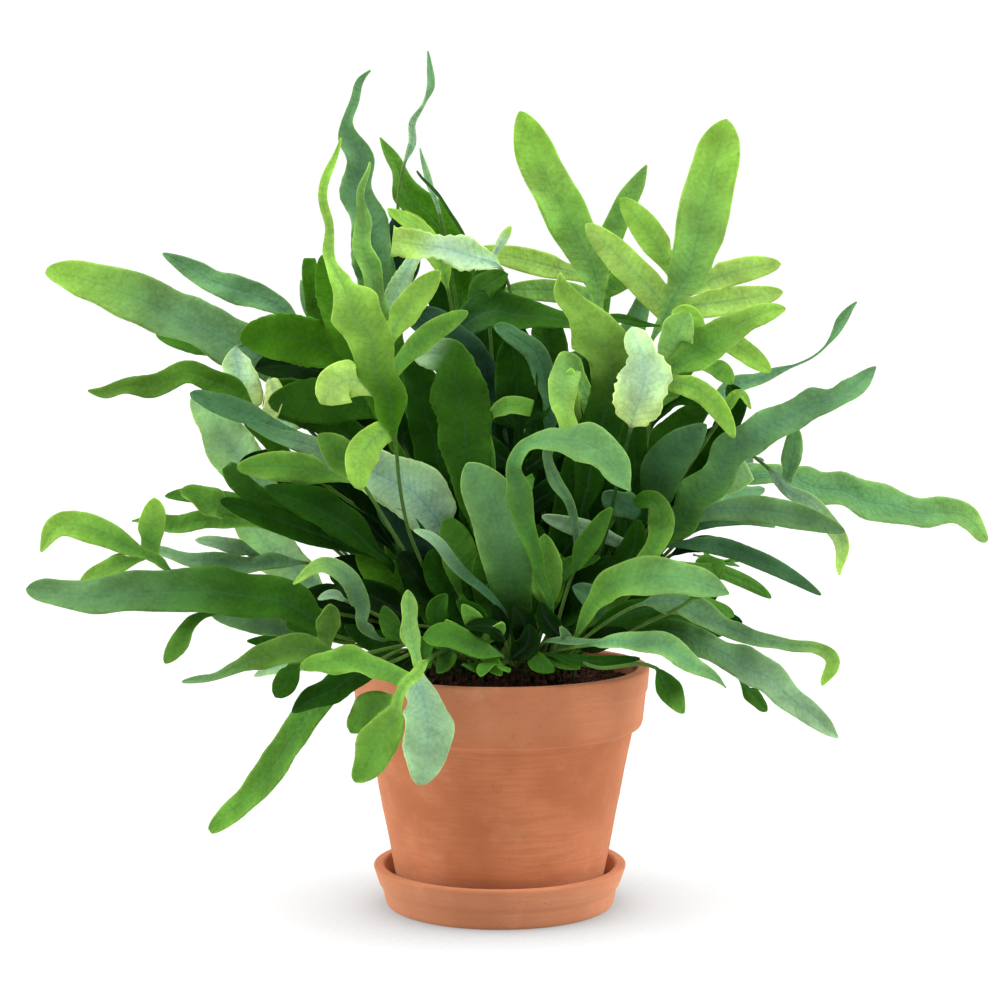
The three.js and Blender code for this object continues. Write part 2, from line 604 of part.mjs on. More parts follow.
// A rounded rod along a rhizome, a clearance wider on request.
function rhizomeGeometry(rhizome, clearance = 0) {
  const positions = [];
  const triangles = [];
  const { rings, sides } = RHIZOME;
  for (let ring = 0; ring <= rings; ring += 1) {
    const place = 0.5 - 0.5 * Math.cos((Math.PI * ring) / rings);
    const { centre, way, radius } = rhizomeAt(rhizome, place);
    const across = new THREE.Vector3(-way.y, way.x, 0);
    const reach = radius + clearance;
    for (let side = 0; side < sides; side += 1) {
      const turn = (2 * Math.PI * side) / sides;
      const point = centre.clone().addScaledVector(across, reach * Math.cos(turn));
      positions.push(point.x, point.y, point.z + reach * Math.sin(turn));
      const next = (side + 1) % sides;
      if (ring < rings) {
        const low = ring * sides;
        const high = low + sides;
        triangles.push(low + side, low + next, high + next, low + side, high + next, high + side);
      }
    }
  }
  const last = rings * sides;
  for (let side = 1; side < sides - 1; side += 1) {
    triangles.push(0, side + 1, side);
    triangles.push(last, last + side, last + side + 1);
  }
  return fromArrays(positions, triangles);
}

// Soil fills the pot with a clearance and has a groove under each rhizome.
function soilGeometry() {
  const { level, mound, moundReach, edgeFall, edgeReach, sides } = SOIL;
  const floor = POT.stand + POT.floor + GAP;
  const reach = (height) => potInner(height - POT.stand) - 2 * GAP;
  let soil = toManifold(turned([
    [0, floor],
    [reach(floor), floor],
    [reach(level - edgeFall), level - edgeFall],
    [reach(level) - edgeReach, level],
    [moundReach, level + mound / 2],
    [0, level + mound],
  ], sides));
  for (const rhizome of RHIZOMES) {
    soil = soil.subtract(toManifold(rhizomeGeometry(rhizome, 2 * GAP)));
  }
  const mesh = soil.getMesh();
  return fromArrays(Array.from(mesh.vertProperties), Array.from(mesh.triVerts));
}

// Where a frond's foot stands on a rhizome, and the direction in which it leaves.
function footOn(rhizomeIndex, foot) {
  const place = (foot + 0.5) / RHIZOME.feet;
  const { centre, way, radius } = rhizomeAt(RHIZOMES[rhizomeIndex], place);
  const row = foot % 2 === 0 ? -1 : 1;
  const lean = THREE.MathUtils.degToRad(RHIZOME.lean) * row;
  const out = new THREE.Vector3(-way.y, way.x, 0).multiplyScalar(Math.sin(lean));
  out.z = Math.cos(lean);
  return { point: centre.clone().addScaledVector(out, radius + STALK.footGap), out };
}

// A frond's centre line: its lengths, where its blade and the blade's points begin along it, and its
// frame at any place from 0 to 1.
function spineOf(frond) {
  const foot = footOn(...frond.root);
  const stalk = [foot.point, foot.point.clone().addScaledVector(foot.out, STALK.spring)];
  stalk.push(...frond.stalk.map(seen));
  const blade = frond.blade.map(seen);
  const points = [...stalk, ...blade];
  const curve = new THREE.CatmullRomCurve3(points);
  const lengths = curve.getLengths(LINE_DIVISIONS);
  const total = lengths[LINE_DIVISIONS];
  const placeOf = (knot) => {
    const spot = (LINE_DIVISIONS * knot) / (points.length - 1);
    const below = Math.min(LINE_DIVISIONS - 1, Math.floor(spot));
    return THREE.MathUtils.lerp(lengths[below], lengths[below + 1], spot - below) / total;
  };
  const bladeStart = placeOf(stalk.length);
  const knotPlaces = blade.map((_, k) => (placeOf(stalk.length + k) - bladeStart) / (1 - bladeStart));
  const face = new THREE.Vector3(...frond.face).normalize();
  const frame = (place) => {
    const centre = curve.getPointAt(place);
    const way = curve.getTangentAt(place);
    const side = new THREE.Vector3().crossVectors(way, face).normalize();
    const up = new THREE.Vector3().crossVectors(side, way);
    return { centre, way, side, up };
  };
  const bladeLength = total * (1 - bladeStart);
  return { frame, bladeStart, bladeLength, stalkLength: total - bladeLength, knotPlaces };
}

// The blade's width at a place, through the widths given at its points. The last stretch rounds off, or
// narrows to a point.
function givenWidth(widths, knotPlaces, place, point) {
  const next = Math.max(1, knotPlaces.findIndex((knot) => knot >= place - TINY));
  const along = (place - knotPlaces[next - 1]) / (knotPlaces[next] - knotPlaces[next - 1]);
  const left = Math.max(0, 1 - along ** 2) ** point;
  const share = next === widths.length - 1 ? 1 - left : smooth(along);
  return THREE.MathUtils.lerp(widths[next - 1], widths[next], share);
}

// The blade's width at a place, narrow as far as its last lobe, then a leaf-shaped end lobe.
function leafWidth(frond, place) {
  const start = frond.pairs ? PAIRS.last : Math.max(0, ...(frond.lobes ?? []).map(([at]) => at));
  const wing = start > 0 ? 2 * LOBE.wing : 0;
  const share = Math.max(0, (place - start) / (1 - start));
  if (share < BLADE.peak) {
    const grown = Math.sin((Math.PI / 2) * (share / BLADE.peak)) ** BLADE.swell;
    return THREE.MathUtils.lerp(wing, frond.width, grown);
  }
  const end = (share - BLADE.peak) / (1 - BLADE.peak);
  return frond.width * Math.max(0, Math.cos((Math.PI / 2) * end)) ** (frond.point ?? BLADE.narrow);
}

// Half the blade's width at a place from 0 to 1 along it.
function halfWidthAt(frond, spine, place) {
  const grow = smooth(place / BLADE.grow);
  const width = frond.widths
    ? givenWidth(frond.widths, spine.knotPlaces, place, frond.point ?? BLADE.tipRound)
    : leafWidth(frond, place);
  return Math.max(LOBE.tip, THREE.MathUtils.lerp(STALK.halfWidth, width / 2, grow));
}

// A sheet's vertices, each with half the thickness there, and the triangles of its upper face.
function newSheet() {
  return { points: [], halves: [], triangles: [] };
}

function addPoint(sheet, point, half) {
  sheet.points.push(point);
  sheet.halves.push(half);
  return sheet.points.length - 1;
}

// Fills the cells between rows of vertices, with the diagonals mirrored about the middle column.
function fillRows(sheet, rows, flipped) {
  const columns = rows[0].length - 1;
  for (let r = 0; r + 1 < rows.length; r += 1) {
    for (let c = 0; c < columns; c += 1) {
      const corners = [rows[r][c], rows[r][c + 1], rows[r + 1][c + 1], rows[r + 1][c]];
      if (flipped) corners.reverse();
      const [a, b, d, e] = corners;
      if (c < columns / 2 !== flipped) sheet.triangles.push([a, b, d], [a, d, e]);
      else sheet.triangles.push([a, b, e], [b, d, e]);
    }
  }
}

// Gives a sheet its thickness: upper and lower faces along the vertex normals, and the rim between.
function thicken(sheet) {
  const normals = sheet.points.map(() => new THREE.Vector3());
  const edges = new Map();
  for (const triangle of sheet.triangles) {
    const [a, b, c] = triangle.map((index) => sheet.points[index]);
    const normal = new THREE.Vector3().crossVectors(b.clone().sub(a), c.clone().sub(a));
    triangle.forEach((index, k) => {
      const next = triangle[(k + 1) % 3];
      normals[index].add(normal);
      edges.set(`${index},${next}`, [index, next]);
    });
  }
  normals.forEach((normal) => normal.normalize());
  const count = sheet.points.length;
  const positions = [];
  for (const sign of [1, -1]) {
    sheet.points.forEach((point, index) => {
      positions.push(...point.clone().addScaledVector(normals[index], sign * sheet.halves[index]));
    });
  }
  const triangles = [];
  for (const [a, b, c] of sheet.triangles) {
    triangles.push(a, b, c, a + count, c + count, b + count);
  }
  for (const [a, b] of edges.values()) {
    if (!edges.has(`${b},${a}`)) triangles.push(b, a, a + count, b, a + count, b + count);
  }
  return fromArrays(positions, triangles);
}

// The lobes of a frond: the listed ones, or pairs along the blade that shorten towards its tip.
function lobesOf(frond, spine) {
  const { web = LOBE.web, wave = 1 } = frond;
  const listed = (frond.lobes ?? []).map(([at, width, tip, bend]) => (
    { at, width, web, wave, tip: seen(tip), bend: bend && seen(bend), steps: LOBE.steps }));
  if (!frond.pairs) return listed;
  const [count, span] = frond.pairs;
  const forward = THREE.MathUtils.degToRad(PAIRS.forward);
  const paired = [];
  for (let pair = 0; pair < count; pair += 1) {
    const share = pair / (count - 1);
    const at = THREE.MathUtils.lerp(PAIRS.first, PAIRS.last, share);
    const { centre, way, side, up } = spine.frame(THREE.MathUtils.lerp(spine.bladeStart, 1, at));
    const length = span * (1 - PAIRS.taper * share ** 2);
    for (const hand of [-1, 1]) {
      const tip = centre.clone()
        .addScaledVector(side, hand * length * Math.cos(forward))
        .addScaledVector(way, length * Math.sin(forward))
        .addScaledVector(up, -PAIRS.droop * length);
      paired.push({ at, width: length * PAIRS.widthShare, web, wave, tip, bend: null, steps: PAIRS.steps });
    }
  }
  return paired;
}

// The places along a blade that its mesh needs: an even spread, and each lobe's start, middle and end.
function bladePlaces(spine, grown) {
  const lobes = grown.map((lobe) => {
    const reach = (lobe.web * lobe.width) / 2 / spine.bladeLength;
    const middle = Math.max(lobe.at, reach + LOBE.clear);
    return { ...lobe, start: middle - reach, middle, end: middle + reach };
  });
  const places = [0, 1, ...lobes.flatMap((lobe) => [lobe.start, lobe.middle, lobe.end])];
  for (let step = 1; step < BLADE.steps; step += 1) {
    const place = step / BLADE.steps;
    if (places.every((other) => Math.abs(other - place) > BLADE.spacing / BLADE.steps)) places.push(place);
  }
  places.sort((a, b) => a - b);
  return { lobes, places: places.filter((place, k) => k === 0 || place - places[k - 1] > TINY) };
}

// A lobe grows out of the edge of the blade, from the vertices between its start and end.
function addLobe(sheet, stations, lobe) {
  const { tip } = lobe;
  const base = stations.filter(({ place }) => place >= lobe.start - TINY && place <= lobe.end + TINY);
  const root = base.reduce((best, row) => (
    Math.abs(row.place - lobe.middle) < Math.abs(best.place - lobe.middle) ? row : best));
  const hand = tip.clone().sub(root.centre).dot(root.side) > 0 ? 1 : -1;
  const edgeOf = (row) => row.vertices[hand > 0 ? row.vertices.length - 1 : 0];
  const baseRow = base.map(edgeOf);
  const start = sheet.points[edgeOf(root)];
  const bend = lobe.bend ?? start.clone()
    .lerp(tip, LOBE.bendAt)
    .addScaledVector(root.side, hand * LOBE.bendOut * tip.distanceTo(start));
  const curve = new THREE.QuadraticBezierCurve3(start, bend, tip);
  const baseHalf = sheet.points[baseRow[0]].distanceTo(sheet.points[baseRow[baseRow.length - 1]]) / 2;
  const rows = [baseRow];
  for (let step = 1; step <= lobe.steps; step += 1) {
    const share = step / lobe.steps;
    const centre = curve.getPoint(share);
    const way = curve.getTangent(share);
    const side = new THREE.Vector3().crossVectors(root.up, way).normalize().multiplyScalar(hand);
    const up = new THREE.Vector3().crossVectors(way, side).multiplyScalar(hand);
    const taper = share < 0.5 ? 1 : Math.cos(Math.PI * (share - 0.5)) ** LOBE.narrow;
    const full = THREE.MathUtils.lerp(baseHalf, lobe.width / 2, smooth(share / LOBE.grow));
    const half = Math.max(LOBE.tip, full * taper);
    const phase = 2 * Math.PI * WAVE.perLobe * share + WAVE.perFrond * lobe.width;
    rows.push(baseRow.map((vertex, k) => {
      const column = (2 * k) / (baseRow.length - 1) - 1;
      const wave = WAVE.size * lobe.wave * half * Math.sin(phase + column);
      const formed = centre.clone()
        .addScaledVector(side, half * column)
        .addScaledVector(up, (BLADE.fold * half + wave) * Math.abs(column));
      const moved = sheet.points[vertex].clone().add(centre).sub(start);
      const nearRib = Math.exp(-((column * half / BLADE.ribReach) ** 2));
      const thickness = THREE.MathUtils.lerp(BLADE.edge, BLADE.rib, nearRib);
      return addPoint(sheet, moved.lerp(formed, smooth(share / LOBE.join)), thickness);
    }));
  }
  fillRows(sheet, rows, hand > 0);
}

function frondGeometry(frond, index) {
  const spine = spineOf(frond);
  const { lobes, places } = bladePlaces(spine, lobesOf(frond, spine));
  const waves = Math.max(1, Math.round(spine.bladeLength / WAVE.length));
  const stalkSteps = Math.max(2, Math.round(spine.stalkLength / STALK.stepLength) + 1);
  const sheet = newSheet();
  const stations = [];
  const addStation = (place, along, half, thickness, fold, lift) => {
    const station = spine.frame(along);
    const vertices = [-1, 0, 1].map((column) => {
      const phase = 2 * Math.PI * waves * place + WAVE.perFrond * index + WAVE.acrossBlade * column;
      const rise = (fold * half + lift * half * Math.sin(phase)) * Math.abs(column);
      const point = station.centre.clone()
        .addScaledVector(station.side, half * column)
        .addScaledVector(station.up, rise);
      return addPoint(sheet, point, column === 0 ? thickness : BLADE.edge);
    });
    stations.push({ ...station, place, vertices });
  };
  for (let step = 0; step < stalkSteps; step += 1) {
    const share = step / stalkSteps;
    addStation(share - 1, share * spine.bladeStart, STALK.halfWidth, STALK.halfThickness, 0, 0);
  }
  for (const place of places) {
    const rib = THREE.MathUtils.lerp(STALK.halfThickness, BLADE.rib, smooth(place / BLADE.ribRun));
    const along = THREE.MathUtils.lerp(spine.bladeStart, 1, place);
    const lift = WAVE.size * (frond.wave ?? 1) * smooth(place / WAVE.start);
    addStation(place, along, halfWidthAt(frond, spine, place), rib, BLADE.fold, lift);
  }
  fillRows(sheet, stations.map(({ vertices }) => vertices), false);
  lobes.forEach((lobe) => addLobe(sheet, stations.slice(stalkSteps), lobe));
  return thicken(sheet);
}

const clay = new THREE.MeshStandardMaterial({ color: '#c47d55', roughness: 0.9, metalness: 0 });
const earth = new THREE.MeshStandardMaterial({ color: '#4a2f20', roughness: 1, metalness: 0 });
const scales = new THREE.MeshStandardMaterial({ color: '#8a6236', roughness: 0.95, metalness: 0 });
const leaves = Object.fromEntries(Object.entries(TONES).map(([tone, color]) => (
  [tone, new THREE.MeshStandardMaterial({ color, roughness: 0.55, metalness: 0 })])));

function piece(name, geometry, material) {
  const mesh = new THREE.Mesh(geometry, material);
  mesh.name = name;
  return mesh;
}

const fern = new THREE.Group();
fern.add(piece('saucer', saucerGeometry(), clay));
fern.add(piece('pot', potGeometry(), clay));
fern.add(piece('soil', soilGeometry(), earth));
for (const rhizome of RHIZOMES) {
  fern.add(piece(rhizome.name, rhizomeGeometry(rhizome), scales));
}
FRONDS.forEach((frond, index) => {
  fern.add(piece(frond.name, frondGeometry(frond, index), leaves[frond.tone]));
});

export default fern;
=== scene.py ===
"""Looks of a blue star fern in a clay pot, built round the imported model: fine fronds with veins and waved
edges, turned clay, soil, creeping rhizomes, a pale stage and the photograph's camera.

Shapes are worked out in millimetres and turned into metres when their meshes are made.
+Z is up and +Y points away from the front."""
import math
from itertools import zip_longest

import bpy
import numpy as np
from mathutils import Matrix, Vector, noise

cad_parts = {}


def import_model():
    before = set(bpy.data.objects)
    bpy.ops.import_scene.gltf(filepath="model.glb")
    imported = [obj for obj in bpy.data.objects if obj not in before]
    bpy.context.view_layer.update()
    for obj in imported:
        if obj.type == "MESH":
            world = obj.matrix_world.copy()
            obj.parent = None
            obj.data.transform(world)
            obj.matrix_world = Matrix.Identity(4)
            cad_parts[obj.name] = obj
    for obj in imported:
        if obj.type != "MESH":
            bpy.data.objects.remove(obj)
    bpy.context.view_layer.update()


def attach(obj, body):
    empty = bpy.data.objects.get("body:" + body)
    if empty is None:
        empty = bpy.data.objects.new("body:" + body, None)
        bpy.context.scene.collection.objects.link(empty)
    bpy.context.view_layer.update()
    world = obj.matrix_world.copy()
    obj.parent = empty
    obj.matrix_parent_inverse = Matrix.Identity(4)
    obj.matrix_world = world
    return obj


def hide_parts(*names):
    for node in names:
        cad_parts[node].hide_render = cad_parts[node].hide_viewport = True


MM = 0.001
TINY = 1e-6
GAP = 0.3

# The camera of the photograph, which the fronds' routes are read in too. Distances in mm.
VIEW = {
    "distance": 1700, "height": 425, "tilt": 4.765, "focal": 2460, "middle": 500, "width": 1000,
    "sensor": 36.0,
}

# Clay pot and saucer, radii and heights as in the model.
SAUCER = {
    "base": 79.5, "band_foot": 82.2, "band_foot_height": 12.5, "band": 84.2, "band_height": 15,
    "rim": 88.9, "height": 29, "wall": 8, "floor": 8, "floor_reach": 72.5,
}
POT = {
    "base": 70.5, "shoulder": 92.5, "shoulder_height": 124, "neck": 3, "neck_in": 1, "band_foot": 99.5,
    "band_foot_height": 132, "crease": 101.8, "crease_height": 151, "crease_step": 1, "crease_rise": 1.5,
    "lip": 104.6, "lip_height": 168, "wall": 9, "floor": 9, "drain": 9, "stand": SAUCER["floor"] + GAP,
}
SOIL = {"level": 156, "mound": 4}
RHIZOME = {"radius": 6.5, "blunt": 8, "end_share": 0.06, "feet": 18, "lean": 28, "rise": 1}
RHIZOMES = {
    "rhizome_front": ([-46, -40], [4, -32], [52, -42]),
    "rhizome_middle": ([-54, -2], [2, 8], [58, 0]),
    "rhizome_back": ([-48, 38], [3, 48], [54, 36]),
}

# The fronds' form, with the model's values, and the spacing of the fine mesh.
STALK = {
    "half_width": 1.2, "half_thickness": 1.15, "foot_gap": 0.75, "spring": 9, "least_round": 0.08,
    "tone_end": -0.02, "tone_fade": 0.08, "foot_fade": 0.5,
}
BLADE = {
    "edge": 0.32, "rib": 0.55, "rib_reach": 1.4, "rib_run": 0.6, "fold": 0.2, "grow": 0.1, "peak": 0.45,
    "swell": 0.9, "narrow": 0.6, "tip_round": 0.7, "bow_power": 1.35, "ruffle_power": 3,
}
WAVE = {"size": 0.13, "length": 52, "start": 0.15, "per_frond": 2.4, "across": 1.9, "per_lobe": 2}
LOBE = {
    "web": 0.8, "clear": 0.01, "join": 0.35, "grow": 0.45, "narrow_from": 0.5, "narrow": 0.5, "bend_at": 0.45,
    "bend_out": 0.12, "wing": 3.5, "tip": 0.5,
}
PAIRS = {"first": 0.06, "last": 0.68, "width_share": 0.42, "forward": 38, "droop": 0.12, "taper": 0.45}
FINE = {"spacing": 1.8, "columns": 12, "least_rows": 8, "stalk_spacing": 6, "least_stalk_rows": 3}
LINE = {"divisions": 200, "step": 1e-4}

# Margins: small ruffles out of the blade and scallops in its outline, as shares of the half width.
MARGIN = {
    "ruffle": 0.1, "ruffle_length": 27, "scallop": 0.035, "scallop_length": 28, "tooth": 0.02,
    "tooth_length": 6.5,
}

# How the fold across a blade, its twist in radians, its shade and its course in mm vary along it, each with
# a length in mm.
VARY = {
    "fold": 0.16, "fold_length": 70, "twist": 0.2, "twist_length": 120, "shade": 0.09, "shade_length": 60,
    "sway": 0.8, "sway_length": 42,
}

# An uneven wave is the sum of a few waves whose speeds are spread.
RIPPLE = {"waves": 3, "spread": (0.75, 1.3)}

# Leaf colours, sRGB: the lighter ones as the leaves look in daylight. "deep", "dark" and "ink" are darker
# than a leaf's own green and paint the shade inside the plant and round its foot onto the leaves there
# (painted shade); on some outer fronds "dark" and "ink" are partly their own darker green.
TONES = {
    "lime": (158, 206, 86),
    "acid": (186, 222, 116),
    "butter": (222, 244, 158),
    "mint": (206, 238, 194),
    "pale": (188, 226, 180),
    "haze": (158, 196, 150),
    "bright": (110, 166, 62),
    "fresh": (146, 196, 102),
    "spring": (122, 174, 108),
    "blue": (116, 164, 112),
    "grey": (112, 154, 100),
    "mid": (84, 140, 46),
    "teal": (84, 132, 84),
    "olive": (96, 138, 50),
    "grass": (74, 132, 22),
    "leaf": (56, 106, 24),
    # ink, dark and deep: painted shade of the plant's inside, and partly the own darker green of some fronds.
    "ink": (44, 78, 54),
    "dark": (34, 80, 10),
    "deep": (16, 46, 6),
    "stalk": (96, 132, 50),
    "foot": (36, 46, 20),
}

# The tones of the edges, and how the middle of a blade near its foot differs, as a factor in linear light.
# A tone without an edge of its own has the other one.
EDGES = {
    "deep": "dark", "dark": "leaf", "ink": "teal", "leaf": "mid", "grass": "bright", "mid": "bright",
    "teal": "grey", "olive": "fresh", "grey": "fresh", "blue": "fresh", "mint": "butter", "haze": "pale",
}
OTHER_EDGE = "acid"
CORE = (0.78, 0.86, 1.12)
SHADING = {"rim_power": 4, "core_across": 1.5, "core_along": 0.6}

# What a usual leaf is like: its waves, the web between its lobes, where its tip's tone sets in and is
# reached, how much its edge is tinted, and its stem's tone.
USUAL = {
    "face": (0, -1, 0.5), "stalk": (), "lobes": (), "lobe_tones": (), "wave": 1, "web": LOBE["web"],
    "start": 0.5, "full": 1.0, "rim": 0.22, "stem": "stalk",
}

# How much a usual leaf's outline is crimped and toothed, its edge ruffled and its course swayed.
UNEVEN = {"crimp": 0.7, "teeth": 0.6, "ruffle": 1.0, "sway": 1.0}


def leaf(root, tone, width, *blade, **own):
    """A leaf as a row: its root as (rhizome, foot), its tone, its width or widths in mm, its
    blade's points as (picture column, picture row, depth behind the pot's axis in mm), and its own values.
    The stalk holds points too, lobes are (place along the blade, width, tip, bend on the way), and pairs
    of lobes are (count, span). A leaf has its tone all along unless its row says more, and one with
    small waves is calm in other ways too."""
    calm = min(1, own.get("wave", USUAL["wave"]))
    uneven = {key: value * calm for key, value in UNEVEN.items()}
    base = own.get("base", tone)
    return {
        **USUAL, **uneven, "base": base, "tip": base, "root": root, "tone": tone, "width": width,
        "blade": blade, **own,
    }


